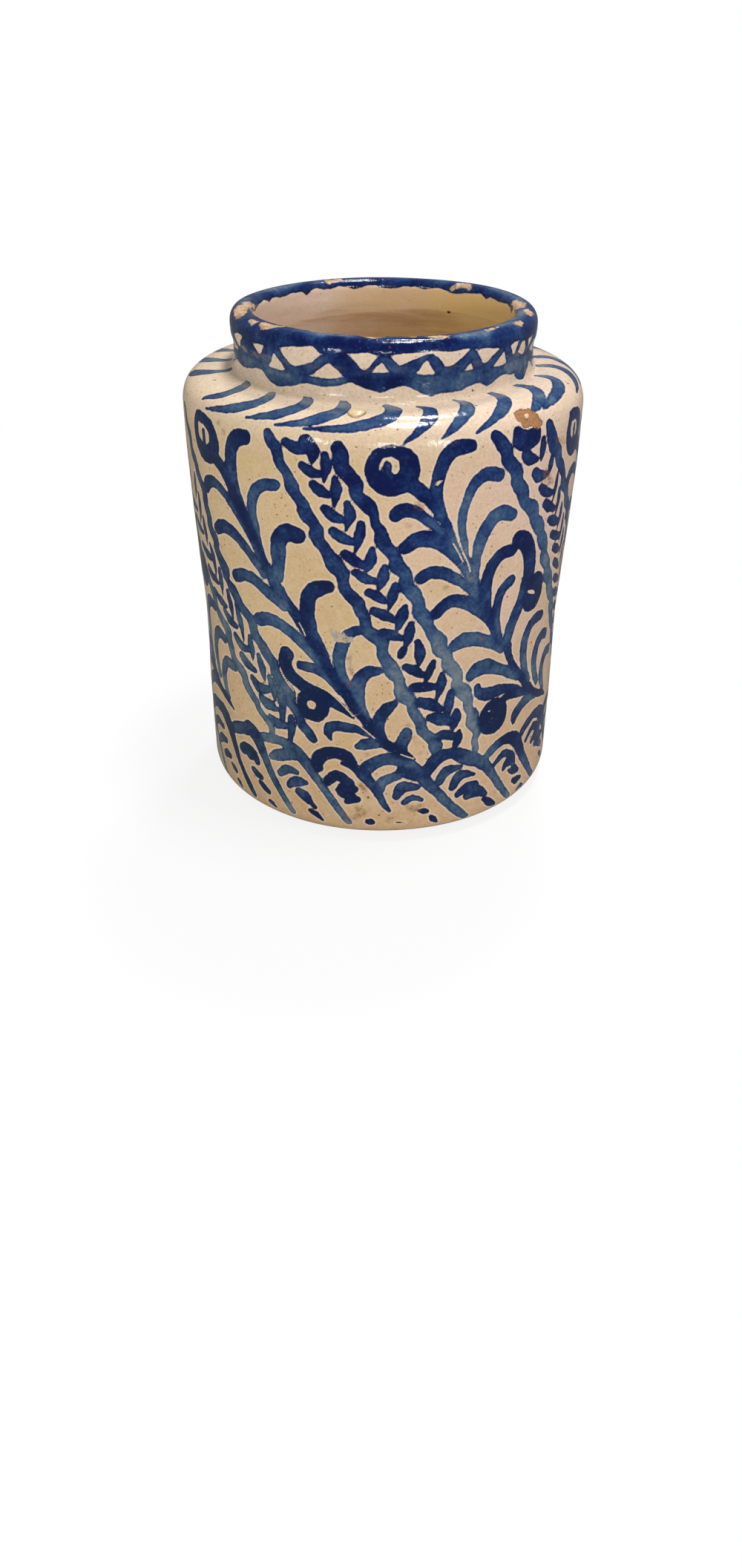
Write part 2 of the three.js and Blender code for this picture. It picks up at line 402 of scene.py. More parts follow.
class Coat:
    """A piece's points as numbers: degrees round, millimetres up and from the axis, and what is painted."""

    def __init__(self, piece):
        mesh = piece.data
        self.piece = piece
        self.places = np.empty(len(mesh.vertices) * 3)
        mesh.vertices.foreach_get("co", self.places)
        self.places = self.places.reshape(-1, 3) / MM
        marks = np.empty(len(mesh.vertices))
        mesh.attributes["along"].data.foreach_get("value", marks)
        self.hidden = marks > hidden_mark / 2
        self.up = np.where(self.hidden, marks - hidden_mark, marks)
        self.radius = np.hypot(self.places[:, 0], self.places[:, 1])
        turn = np.arctan2(self.places[:, 0], -self.places[:, 1])
        self.round = np.degrees(turn)
        outward = np.interp(self.up, outside_up, outside_facing[:, 0])
        upward = np.interp(self.up, outside_up, outside_facing[:, 1])
        self.facing = np.stack([outward * np.sin(turn), -outward * np.cos(turn), upward], axis=1)
        self.edge = np.full(len(marks), far_off)
        self.slit = np.full(len(marks), no_slit)
        self.load = np.full(len(marks), unpainted_load)
        self.worn = np.full(len(marks), far_off)
        self.bare = np.full(len(marks), far_off)
        self.stain = np.full(len(marks), far_off)

    def near(self, middle, half_turn, low, high, reach):
        """The points near a patch, and how many degrees each is from its middle."""
        apart = (self.round - middle + 180.0) % 360.0 - 180.0
        beyond = np.degrees(reach / np.maximum(self.radius, 1.0))
        close = (np.abs(apart) < half_turn + beyond) & (self.up > low - reach) & (self.up < high + reach)
        spots = np.flatnonzero(close)
        return spots, apart[spots]

    def reach_of(self, line, reach=4.0):
        """Millimetres outside the edge of a line of degrees, millimetres up and width, how far along it
        the nearest place is, and which side of it."""
        middle = (line[:, 0].min() + line[:, 0].max()) / 2
        half_turn = (line[:, 0].max() - line[:, 0].min()) / 2
        margin = reach + line[:, 2].max() / 2
        spots, apart = self.near(middle, half_turn, line[:, 1].min(), line[:, 1].max(), margin)
        if not len(spots):
            return spots, None, None, None
        arc = np.radians(1.0) * self.radius[spots][:, None]
        across = arc * (apart[:, None] - (line[None, :-1, 0] - middle))
        upward = self.up[spots][:, None] - line[None, :-1, 1]
        run = arc * (line[1:, 0] - line[:-1, 0])[None, :]
        rise = (line[1:, 1] - line[:-1, 1])[None, :]
        share = np.clip((across * run + upward * rise) / (run**2 + rise**2 + 1e-9), 0.0, 1.0)
        width = line[None, :-1, 2] + share * (line[1:, 2] - line[:-1, 2])[None, :]
        half_width = np.maximum(width, thinnest_stroke) / 2
        gap = np.hypot(across - share * run, upward - share * rise) - half_width
        best = gap.argmin(axis=1)
        rows = np.arange(len(spots))
        travelled = (best + share[rows, best]) / (len(line) - 1)
        side = np.where((run * upward - rise * across)[rows, best] < 0, -1.0, 1.0)
        return spots, gap[rows, best], travelled, side

    def brush(self, start_load, end_load, points):
        """One stroke of cobalt, with how much of it there is at the stroke's start and end."""
        line = curved_through(points, stroke_step)
        loads = np.linspace(start_load, end_load, len(line))
        for first in range(0, len(line) - 1, stretch_points):
            stretch = line[first : first + stretch_points + 1]
            spots, gap, travelled, _ = self.reach_of(stretch)
            if not len(spots):
                continue
            last_load = loads[first + len(stretch) - 1]
            cobalt = loads[first] + (last_load - loads[first]) * travelled
            crossing = (gap < 0) & (self.edge[spots] < 0)
            nearer = gap < self.edge[spots]
            deeper = np.maximum(self.load[spots], cobalt)
            self.load[spots] = np.where(crossing, deeper, np.where(nearer, cobalt, self.load[spots]))
            self.edge[spots] = np.minimum(self.edge[spots], gap)

    def gap_in(self, points):
        """A small gap where the cream shows through the cobalt."""
        spots, gap, _, _ = self.reach_of(curved_through(points, stroke_step))
        if len(spots):
            self.edge[spots] = np.maximum(self.edge[spots], -gap)

    def scratch(self, points):
        """A hairline where the cream shows through. Points on its two sides differ in sign."""
        line = curved_through([(turn, up, hairline) for turn, up in points], stroke_step)
        spots, gap, travelled, side = self.reach_of(line)
        if len(spots):
            past_end = (travelled <= 0.0) | (travelled >= 1.0)
            apart = np.where(past_end, no_slit, gap + hairline / 2)
            nearer = apart < np.abs(self.slit[spots])
            self.slit[spots] = np.where(nearer, side * apart, self.slit[spots])

    def patch(self, kind, points):
        """A patch that is worn, bare or stained, drawn like a stroke."""
        spots, gap, _, _ = self.reach_of(curved_through(points, stroke_step))
        if len(spots):
            marks = getattr(self, kind)
            marks[spots] = np.minimum(marks[spots], gap)

    def thin(self, load, points):
        """Thins the cobalt already there, inside a patch drawn like a stroke."""
        spots, gap, _, _ = self.reach_of(curved_through(points, stroke_step))
        if len(spots):
            share = np.clip(0.5 - gap / thinning_edge, 0.0, 1.0)
            self.load[spots] += share * np.minimum(0.0, load - self.load[spots])

    def belt(self, load, lower, upper):
        """A belt of cobalt all the way round, between two uneven lines that repeat round it."""
        ends = []
        for line in (lower, upper):
            closed = [(turn, up, 1.0) for turn, up in [*line, (line[0][0] + belt_repeat, line[0][1])]]
            smooth = curved_through(closed, stroke_step)
            ends.append(np.interp(self.round, smooth[:, 0], smooth[:, 1], period=belt_repeat))
        gap = np.maximum(ends[0] - self.up, self.up - ends[1])
        self.load = np.where((gap < self.edge) | (gap < 0), load, self.load)
        self.edge = np.minimum(self.edge, gap)

    def soften(self):
        """Evens the cobalt out between neighbouring points, as strokes that cross while wet run together."""
        mesh = self.piece.data
        ends = np.empty(len(mesh.edges) * 2, dtype=np.int32)
        mesh.edges.foreach_get("vertices", ends)
        first, second = ends.reshape(-1, 2).T
        points = len(self.load)
        met = 1.0 + np.bincount(first, minlength=points) + np.bincount(second, minlength=points)
        for _ in range(softening):
            total = self.load + np.bincount(first, self.load[second], points)
            total += np.bincount(second, self.load[first], points)
            self.load = total / met

    def push_in(self, depth):
        """Moves each point in from the surface by that depth in millimetres."""
        inward = np.where(self.hidden, 0.0, depth)
        self.places -= self.facing * inward[:, None]

    def finish(self, strips):
        """Writes the points and what is painted back, and lays the face out in strips for the bake."""
        mesh = self.piece.data
        mesh.vertices.foreach_set("co", (self.places * MM).ravel())
        for name in painted_marks:
            painted = mesh.attributes.new(name, "FLOAT", "POINT")
            painted.data.foreach_set("value", getattr(self, name).astype(np.float32))
        mesh.update()
        corner_points = np.empty(len(mesh.loops), dtype=np.int32)
        mesh.loops.foreach_get("vertex_index", corner_points)
        starts = np.empty(len(mesh.polygons), dtype=np.int32)
        mesh.polygons.foreach_get("loop_start", starts)
        counts = np.diff(np.append(starts, len(mesh.loops)))
        face_of = np.repeat(np.arange(len(starts)), counts)
        first = self.round[corner_points[starts]]
        apart = (self.round[corner_points] - first[face_of] + 180.0) % 360.0 - 180.0
        centre = first + np.add.reduceat(apart, starts) / counts
        hidden = np.logical_or.reduceat(self.hidden[corner_points], starts)
        width = 360.0 / strips
        strip = np.floor((centre % 360.0) / width)
        turned = apart + first[face_of] - centre[face_of] + (centre % 360.0)[face_of]
        low, high = self.up.min(), self.up.max()
        across = (turned - strip[face_of] * width) / width
        upward = (self.up[corner_points] - low) / (high - low)
        upright = shown_height * (strip[face_of] + strip_foot + strip_height * upward) / strips
        shown = np.stack([strip_side + strip_width * across, upright], axis=1)
        behind = np.where(self.hidden[corner_points], 0.02 + 0.96 * upward, upward)
        tucked = np.stack([strip_side + 0.99 * turned / 360.0, 0.985 + 0.01 * behind], axis=1)
        layout = mesh.uv_layers.new(name="OFBake")
        layout.data.foreach_set("uv", np.where(hidden[face_of][:, None], tucked, shown).ravel())
        mesh.attributes.remove(mesh.attributes["along"])


def coat_piece(name, low, high, hollow=True):
    """A stretch of the coat, spun, and its points ready to paint."""
    loop, marks = coat_loop(low, high, hollow)
    piece = spun(name, loop, marks, glaze_columns, closed=True)
    return Coat(piece)


def unevenness(coat):
    """How far the hand-thrown surface lies under a true one: shallow rings and long soft hollows."""
    turn = np.radians(coat.round)
    ring_drift = 1.3 * np.sin(2 * turn) + 0.9 * np.sin(coat.up / 19.0)
    rings = 0.5 + 0.5 * np.sin(coat.up / throwing_ring + ring_drift)
    wave_drift = 2.0 * np.sin(turn + 0.6) + 1.1 * np.sin(3 * turn)
    broad = 0.5 + 0.5 * np.sin(coat.up / slow_wave + wave_drift)
    hollows = 0.5 + 0.25 * np.sin(5 * turn + coat.up / 23.0) + 0.25 * np.sin(8 * turn - coat.up / 15.0 + 1.0)
    return throwing_ring_depth * rings + slow_wave_depth * broad + hand_hollow_depth * hollows


# The spray left of the middle: a ring flower, its stem, the leaves on each side, from the top down,
# and a ring of a fruit at the foot. Each stroke is how much cobalt there is at its start and end,
# then its points: degrees round, millimetres up, and the width there.
ring_spray = [
    (0.95, 0.95, [
        (-61.8, 252.5, 4), (-60, 251.5, 7), (-57.3, 251, 7), (-54, 248.5, 8.5), (-52.3, 243, 10),
        (-52.6, 236, 11), (-55.5, 231.8, 11.5), (-59.3, 232.5, 10), (-61.9, 237, 8), (-62.7, 242.5, 7),
        (-62.2, 248, 6.5), (-61.5, 251.5, 5),
    ]),
    (0.85, 0.85, [(-57.6, 235, 4.5), (-57.6, 244, 4)]),
    (0.9, 0.55, [
        (-54, 234.5, 9), (-52, 232, 9), (-49, 228, 8.5), (-46, 220, 7.5), (-43.5, 208, 6),
        (-40.5, 197, 5.5), (-37.5, 187, 5.5), (-34.5, 178, 6.5),
    ]),
    (0.6, 0.45, [(-34.5, 178, 6.5), (-31.5, 168, 9), (-29, 160, 7.5), (-26.5, 152, 5)]),
    (0.8, 1, [
        (-26.5, 152, 5), (-25.2, 146.7, 4), (-23.5, 141.5, 3.5), (-21.6, 136.3, 3.8),
        (-19.5, 130, 4.3), (-17, 122, 4.6), (-14.5, 115.4, 4.8),
    ]),
    (1, 1, [
        (-14.5, 115.4, 4.8), (-12.4, 110.2, 5), (-10.7, 105, 5.2), (-8.2, 95, 5.4), (-5, 87, 5.6),
        (-1.7, 79, 5.9), (1.3, 72, 6), (4.7, 67, 6.2), (7.5, 63, 6.2), (9.5, 60.5, 4), (11, 59, 1.5),
    ]),
    (0.85, 0.38, [
        (-58.5, 211, 7.5), (-57.5, 214.5, 8), (-54, 217, 7), (-51.5, 216, 7), (-48, 212, 6),
        (-46, 208, 5.5), (-43, 201, 4), (-40, 193, 3),
    ]),
    (0.85, 0.33, [
        (-54.3, 188.5, 8), (-52.5, 191, 8.5), (-50, 192.4, 8.5), (-47, 191.5, 8.5), (-44, 188.6, 8),
        (-41, 183.5, 7), (-38, 177.5, 6.5), (-35, 171, 6),
    ]),
    (0.8, 0.3, [
        (-46.8, 163.5, 8.5), (-43, 166.5, 8.3), (-40, 166.5, 8), (-36.5, 163, 8), (-32.5, 158.5, 8),
        (-29, 154, 7),
    ]),
    (0.5, 0.35, [
        (-38.5, 140.5, 8.5), (-34.5, 143, 8.8), (-30.5, 141.5, 8.5), (-26.5, 137, 8), (-23, 131.5, 8),
        (-20, 126, 7.5), (-17.5, 121, 7),
    ]),
    (0.75, 0.55, [
        (-24.3, 117.2, 6.5), (-20.5, 117, 6.8), (-17, 115, 7), (-14, 110, 7), (-11.5, 104.5, 6.5),
    ]),
    (0.92, 0.48, [
        (-38.7, 249.5, 9), (-42, 247.5, 9.5), (-44.3, 241, 10), (-44.9, 231, 10.3), (-44.3, 222, 9),
        (-42.5, 212, 7.5), (-40, 203, 6),
    ]),
    (0.62, 0.2, [
        (-29.3, 226.5, 7), (-32.5, 225.5, 7), (-35.5, 222, 7.2), (-37.3, 215, 7.6), (-37.8, 208, 7.2),
        (-37, 200, 6.5), (-36, 190, 5.5), (-34.3, 180, 4.5), (-33, 172, 4),
    ]),
    (1, 0.3, [
        (-23.2, 199.5, 10), (-26, 200.5, 10.5), (-28.8, 195.5, 10.5), (-29.5, 187, 10.6),
        (-29.8, 178, 8.5), (-30.2, 169, 7),
    ]),
    (0.95, 0.4, [
        (-14.8, 170.8, 8), (-18, 169, 10), (-20.5, 164, 9.8), (-21.3, 156, 9.5), (-21, 148, 8.7),
        (-20, 140, 8), (-18.3, 133, 7.5), (-16.5, 126, 6),
    ]),
    (0.7, 0.45, [
        (-6.5, 145, 6.5), (-9, 142.5, 7), (-10.8, 136, 8), (-12, 129, 8), (-12.2, 121, 7.5),
        (-11, 113, 7), (-9.5, 107, 6),
    ]),
    (0.75, 0.2, [
        (1, 118.5, 2), (-1, 119, 6), (-3, 118.8, 7.5), (-5.7, 114, 9), (-6.8, 106, 9.5), (-6.6, 98, 9),
        (-5.2, 91, 7.5), (-3.5, 84, 6),
    ]),
    (0.88, 0.55, [
        (4.5, 97.6, 4.5), (2.6, 95, 7.8), (0.6, 90, 8.3), (-0.6, 84.5, 8.5), (-0.7, 79.5, 8.5), (0.6, 74, 7),
    ]),
    (0.5, 0.75, [(8.2, 78, 6.5), (7.6, 74, 8.6), (6.7, 69, 8), (7.2, 64.5, 6)]),
    (0.8, 0.45, [
        (-14.9, 71, 2), (-15.8, 75.5, 6), (-15.2, 79.5, 7.5), (-13, 81, 7), (-10, 80.7, 7),
        (-7, 80.2, 5.5), (-5, 78.5, 5), (-2.5, 76, 4), (0, 74, 3),
    ]),
    (0.6, 0.75, [(-6.3, 68.5, 5.5), (-4.7, 69.7, 8), (-2, 71, 8), (0.5, 70.5, 6), (3, 68, 5)]),
    (1, 1, [
        (-21, 99.5, 8.2), (-17.9, 97, 8.6), (-17.6, 90.5, 8.6), (-19.5, 85.3, 8.2), (-22.2, 85.9, 7.5),
        (-24.2, 90.5, 6.8), (-24, 96.3, 7), (-21.5, 99.4, 7.6),
    ]),
    (0.8, 1, [
        (-29, 123, 9.5), (-29.8, 117, 9.5), (-28.8, 111, 9), (-26, 106.5, 8.5), (-22.5, 103, 8.5),
        (-18, 100.2, 8), (-14.3, 96.6, 8), (-11.2, 92.6, 5.2), (-7.9, 87.2, 2.2),
    ]),
    (0.95, 0.9, [(-47.3, 225, 4), (-45, 217, 6), (-40.8, 203.5, 6), (-36.5, 189, 5.5), (-33.6, 177, 4)]),
    (0.7, 1, [
        (-28.8, 162.5, 3), (-25, 152.5, 4.5), (-21, 139.5, 6), (-17.3, 126, 6.5), (-13, 110.5, 6.3),
        (-8, 95.5, 6),
    ]),
]

# The spray right of the middle, with a fruit on a long stroke on its right and another at its foot
fruit_spray = [
    (0.95, 1, [
        (0.4, 250, 6), (2.5, 250.6, 6.5), (5, 249, 8), (6.8, 245, 10.5), (6.9, 238, 11.5),
        (4.8, 233, 12), (1.5, 231.6, 12), (-1.3, 234.5, 10), (-2.6, 240, 8.3), (-2, 246, 7.5),
        (-0.5, 249.5, 6.5), (0.4, 250, 6),
    ]),
    (0.7, 0.85, [(1.3, 243, 4.5), (1.1, 237.5, 6.5), (3, 235, 6)]),
    (0.9, 0.55, [
        (6.5, 233, 9), (9.5, 229, 8.5), (12.5, 222, 7.5), (15.5, 214, 6.3), (17.4, 208, 5.3),
        (18.8, 201, 4.6),
    ]),
    (0.35, 0.15, [(18.8, 201, 4.6), (21, 193, 3.4), (23, 185, 2.7), (25, 177, 2.8), (27, 170, 4.2)]),
    (0.35, 1, [
        (27, 170, 4.2), (29, 160, 7.5), (31.4, 150.2, 6.5), (33, 143.2, 4.5), (34.5, 138, 3.6),
        (36.5, 131, 4.5), (39.5, 125.5, 6), (41.8, 122.3, 8), (43, 115.4, 6), (45.1, 108.4, 5),
        (46.8, 103.2, 6), (49, 98, 6), (51.4, 92.8, 6), (53.8, 87.6, 6.5), (57, 81.5, 6),
        (60.5, 76.5, 5.5), (64, 73.5, 5.5), (67.5, 70.5, 4), (69.5, 68, 2),
    ]),
    (0.9, 0.15, [
        (3.6, 215, 7.8), (4.6, 217.3, 8.2), (6.6, 218, 8.3), (9.5, 215.8, 7.5), (12.5, 211, 6.5),
        (14.7, 206.5, 5.5), (17, 201, 5), (19, 196, 4),
    ]),
    (0.95, 0.2, [
        (6.4, 196, 8.2), (8.9, 200, 9.6), (12.3, 200.8, 10), (16, 197.5, 9), (19, 191.5, 7),
        (21.5, 185, 5), (24, 178, 4.5), (26.5, 170, 4),
    ]),
    (0.88, 0.2, [
        (10.9, 177.5, 7.8), (13.4, 180.3, 8), (16.5, 180, 8), (20, 176, 7), (23.5, 171, 6),
        (26, 166, 5), (28, 161, 4),
    ]),
    (0.85, 0.53, [
        (15.8, 154.2, 7.3), (17.5, 158.5, 8), (20.2, 161.3, 8.3), (23.5, 160, 8.5), (27, 156, 8),
        (30, 150.5, 7), (33, 143, 4),
    ]),
    (0.55, 0.43, [
        (22.3, 132, 8.5), (25, 134.5, 10), (29, 133.5, 9.5), (33, 130.5, 8.5), (36.5, 126.5, 7),
        (39.5, 121.5, 6),
    ]),
    (0.6, 0.35, [
        (28.4, 109.5, 7.5), (30.5, 113, 10), (33.5, 113.3, 11), (37, 110.5, 8.5), (41, 106.5, 7.5),
        (44.5, 102, 6.5), (48, 97.5, 5),
    ]),
    (0.7, 0.8, [
        (31, 101, 5), (31.7, 97, 7), (34.5, 94.3, 9), (38, 94, 8.5), (42, 93.5, 7), (46, 91.5, 5),
        (49, 89.5, 3),
    ]),
    (0.95, 0.43, [
        (23.3, 250.5, 7.5), (19.5, 250.5, 9), (16.5, 246, 8.5), (15, 238, 8.3), (14.3, 231, 7.5),
        (14.5, 224, 7), (15.8, 215, 6), (18, 206, 5),
    ]),
    (0.6, 0.15, [
        (32.3, 232, 8), (28.5, 234, 8.4), (25.2, 230, 7.5), (23.2, 222.5, 6), (22, 214, 5.7),
        (21.9, 206, 5.2), (22.8, 197, 4.4), (24, 188, 3), (25.5, 180, 3),
    ]),
    (0.55, 0.25, [
        (38, 207, 8), (34.5, 209.8, 9.2), (31.5, 208, 9.2), (29, 201, 9.2), (27.6, 193, 8),
        (27, 184, 6.3), (27.1, 175, 5.5), (27.5, 166, 5),
    ]),
    (0.85, 0.63, [
        (39.6, 185, 7.5), (36, 185, 8.5), (33, 180.5, 8.5), (31.3, 173, 9), (30.8, 164, 9),
        (31.5, 156, 8), (33, 148, 5.5), (34.5, 141, 4),
    ]),
    (0.75, 0.4, [
        (40.3, 166, 7.5), (37.5, 162.5, 7.5), (36, 156, 7), (35.8, 148, 6.6), (36.3, 141, 5.5),
        (37.3, 134, 5), (38.5, 128, 4.5),
    ]),
    (1, 0.5, [
        (41.5, 190.5, 11), (44, 188.5, 11.5), (46.5, 182, 11.6), (47.7, 174, 11.6), (48, 166, 11.5),
        (47, 158, 11), (46, 150, 10), (44, 142, 9.5), (42.3, 134, 9), (41.5, 127, 8.5),
    ]),
    (1, 1, [(51.8, 154.5, 20), (51.6, 149.5, 21)]),
    (0.7, 0.35, [
        (59, 131, 7), (56, 132, 8.3), (52.5, 129, 8.3), (50.6, 122, 8.2), (50.3, 114, 8),
        (50.9, 106, 7), (52.3, 98, 6), (54.5, 91, 5),
    ]),
    (0.65, 0.35, [
        (65.3, 113.8, 7), (62, 115.5, 8), (59, 112, 8), (57.7, 105, 8), (57.6, 98, 7.5),
        (58.7, 91, 6.5), (60.3, 85, 5.5),
    ]),
    (0.6, 0.3, [
        (71, 99, 7), (67, 99.5, 8), (64.5, 95, 8), (63.7, 88, 7.5), (64.5, 82, 6.5), (66.5, 75, 5),
    ]),
    (1, 1, [(37.9, 77.8, 23.5), (37.8, 76.6, 23.5)]),
    (0.95, 0.68, [(41, 86, 6), (44, 87.5, 6), (48, 86.5, 7), (52, 84.5, 6), (55, 82.5, 5)]),
    (0.75, 0.33, [
        (47.5, 66.5, 4), (48, 71, 8), (50.5, 75, 8), (54, 77.5, 8), (58, 77, 7), (62, 75, 5),
    ]),
]

# The pairs of wavy bands, with the brush pressed and let go all the way down
middle_bands = [
    (0.7, 0.75, [
        (-31, 254.5, 6), (-29.8, 250, 8), (-27.1, 240, 7), (-25.8, 232.4, 7), (-23.7, 227, 9),
        (-22.9, 223, 7), (-21.7, 218.5, 8), (-20, 213, 9.5), (-18.8, 208, 7.5), (-17.2, 201, 9),
        (-15.8, 195, 7.5), (-14.6, 190, 8.5), (-12.6, 185.5, 11), (-11.3, 180, 9), (-10.2, 175, 7),
        (-9.5, 170, 7.5), (-8.3, 165, 8.5), (-6.5, 162, 8),
    ]),
    (0.65, 0.3, [
        (-6.5, 162, 8), (-5.2, 156.3, 7.5), (-4.4, 150.2, 7), (-3.3, 145, 8), (-0.8, 139.7, 9.5),
        (0.65, 134.5, 7), (1.1, 129.3, 7.5), (2, 124, 8.5), (3.9, 118.9, 10), (5.1, 113.7, 7.5),
        (6, 108.4, 7.5),
    ]),
    (0.3, 0.4, [
        (6, 108.4, 7.5), (7.4, 103.2, 9.5), (8.9, 98, 8), (10, 92.8, 7), (11.2, 87.6, 7.5),
        (12.8, 81, 7), (14.5, 75, 7), (16.2, 69, 7), (17.8, 63, 6),
    ]),
    (0.95, 0.7, [
        (-11.2, 251, 8), (-11, 247, 9.5), (-10.5, 243, 9), (-8.5, 237, 9), (-7.4, 232, 8.5),
        (-5.9, 225.5, 7.5), (-3.9, 220.3, 9), (-1.8, 215, 6), (-1.5, 210, 5.8), (-0.8, 205.5, 7),
        (0.5, 201, 9), (1.9, 196, 8), (3.3, 190.5, 7.5), (4.6, 185.5, 9.5),
    ]),
    (0.65, 0.3, [
        (4.6, 185.5, 9.5), (6.2, 180.3, 7.8), (7.2, 175, 8.5), (8.9, 167.6, 9), (10.4, 162.3, 7),
        (11.2, 157.1, 8.5), (12.3, 151.9, 9.5), (14.2, 146.7, 7.2), (15, 141.5, 8),
        (16.6, 136.3, 10.5), (18.3, 131, 9.5),
    ]),
    (0.25, 0.12, [
        (18.3, 131, 9.5), (19.6, 125.8, 7.2), (20.6, 120.6, 9), (22.5, 115.4, 9), (23.7, 110.2, 6.7),
        (24.4, 105, 8.3), (25.9, 99.7, 10), (27.5, 94.5, 7.2),
    ]),
    (0.15, 0.25, [
        (27.5, 94.5, 7.2), (28.2, 89.3, 6.8), (28.5, 84, 6.3), (29.6, 78, 7), (30.8, 72, 6.5),
        (31.4, 66, 5.5), (31.4, 58, 5),
    ]),
    (0.45, 0.3, [(30, 86, 3), (31.6, 80, 4), (32, 74, 3)]),
]
right_bands = [
    (0.85, 0.4, [
        (31, 254, 7), (32.5, 249, 8.5), (34.5, 243.7, 8.7), (36.3, 236, 8.7), (38.3, 229.8, 9.5),
        (39.7, 223.7, 9.2), (41.3, 217.6, 10), (42.8, 212.4, 7), (45.6, 206.3, 10.5),
        (47.9, 200.3, 8.3), (49.7, 195, 10), (51.4, 189, 7.3),
    ]),
    (0.4, 0.3, [
        (51.4, 189, 7.3), (53.5, 182.9, 10), (54.8, 177.7, 6.8), (55.7, 171.6, 9), (57.7, 164, 8),
        (59.3, 158.9, 10), (61.1, 153.7, 10), (62.5, 148.4, 9), (64, 143.2, 9), (65.9, 138, 9),
        (67.8, 131, 9), (69, 124, 9),
    ]),
    (0.5, 0.3, [
        (69, 124, 9), (71.5, 117, 8), (73.5, 110, 8.5), (75, 103, 7.5), (77, 96, 8.5), (79, 89, 7.5),
        (81, 82, 7.5), (83.5, 75, 7), (86, 67, 6), (87.5, 61, 6),
    ]),
    (0.8, 0.6, [
        (51, 252.4, 7.5), (51.4, 246.3, 9.3), (54, 240.3, 10.5), (56, 234.2, 8), (57.4, 229, 7.5),
        (60.1, 223.7, 7.5), (61.3, 218.5, 6.5), (62.7, 213.3, 8), (64.8, 208, 7.5), (66.9, 202, 8),
        (69.5, 196, 8),
    ]),
    (0.7, 0.3, [
        (69.5, 196, 8), (71.5, 189, 8.5), (73.5, 181, 7.5), (75, 173, 8.5), (77, 165, 8), (79, 157, 9),
        (80.8, 149, 7.5), (82.7, 141, 8.5), (84.5, 133, 8), (86.5, 125, 9), (88.5, 117, 8),
        (90.5, 109, 8.5), (92.3, 101, 7.5), (94.5, 93, 8), (96.5, 84, 7), (98, 75, 6.5), (99.5, 66, 6),
    ]),
]
left_bands = [
    (0.75, 0.7, [
        (-74.7, 250, 5), (-72.6, 242, 7), (-70.5, 236.8, 7.5), (-69.4, 229.8, 7), (-66.3, 222.9, 8),
        (-65, 216.8, 7.5), (-62, 210.7, 8), (-61, 204.6, 8), (-59.7, 196.8, 7.5), (-59.1, 188, 7.5),
        (-57, 181, 8), (-56.1, 175, 7.5), (-54.8, 169.3, 8.5),
    ]),
    (0.65, 0.42, [
        (-54.8, 169.3, 8.5), (-53.3, 164, 10), (-51.2, 157, 6), (-49.6, 152.8, 9), (-48.1, 149.3, 9),
        (-46, 145, 8.5), (-44.2, 140.6, 8), (-41.4, 134.5, 8.5), (-40.7, 129.3, 8), (-39.2, 124, 8.5),
        (-36.3, 118.9, 8.5), (-34.7, 113.6, 8), (-33.5, 108.4, 8), (-31.2, 103.2, 8.5), (-29.1, 98, 8),
    ]),
    (0.42, 0.75, [
        (-29.1, 98, 8), (-27.3, 88, 7), (-25, 81, 7), (-22.8, 74, 7.5), (-21.3, 69.5, 6),
    ]),
    (0.7, 0.6, [
        (-97, 252, 7), (-94.5, 243, 8.5), (-92.5, 235, 7.5), (-90, 226, 9), (-88, 217, 7.5),
        (-85.5, 208, 8.5), (-83, 199, 7.5), (-80.5, 190, 8.5), (-77.5, 181, 7.5), (-75, 173, 8),
        (-73.9, 169, 7),
    ]),
    (0.5, 0.25, [
        (-73.9, 169, 7), (-72.6, 162, 7), (-69.2, 157, 8), (-68, 152, 8), (-65.6, 146.7, 8),
        (-64.2, 141.5, 8), (-62.9, 136.3, 7.5), (-61.2, 131, 7.5), (-58.5, 125.8, 8),
        (-55.3, 121.5, 9), (-54.9, 117, 8), (-54.5, 112, 7.5), (-52.6, 106.7, 7), (-50.7, 102.3, 7.5),
        (-48.3, 98, 7.5), (-46.6, 92.8, 7), (-44.5, 87.6, 7), (-42, 82.5, 5.5), (-39, 76.5, 5),
        (-36.8, 71, 5.5), (-35.2, 65, 5),
    ]),
]

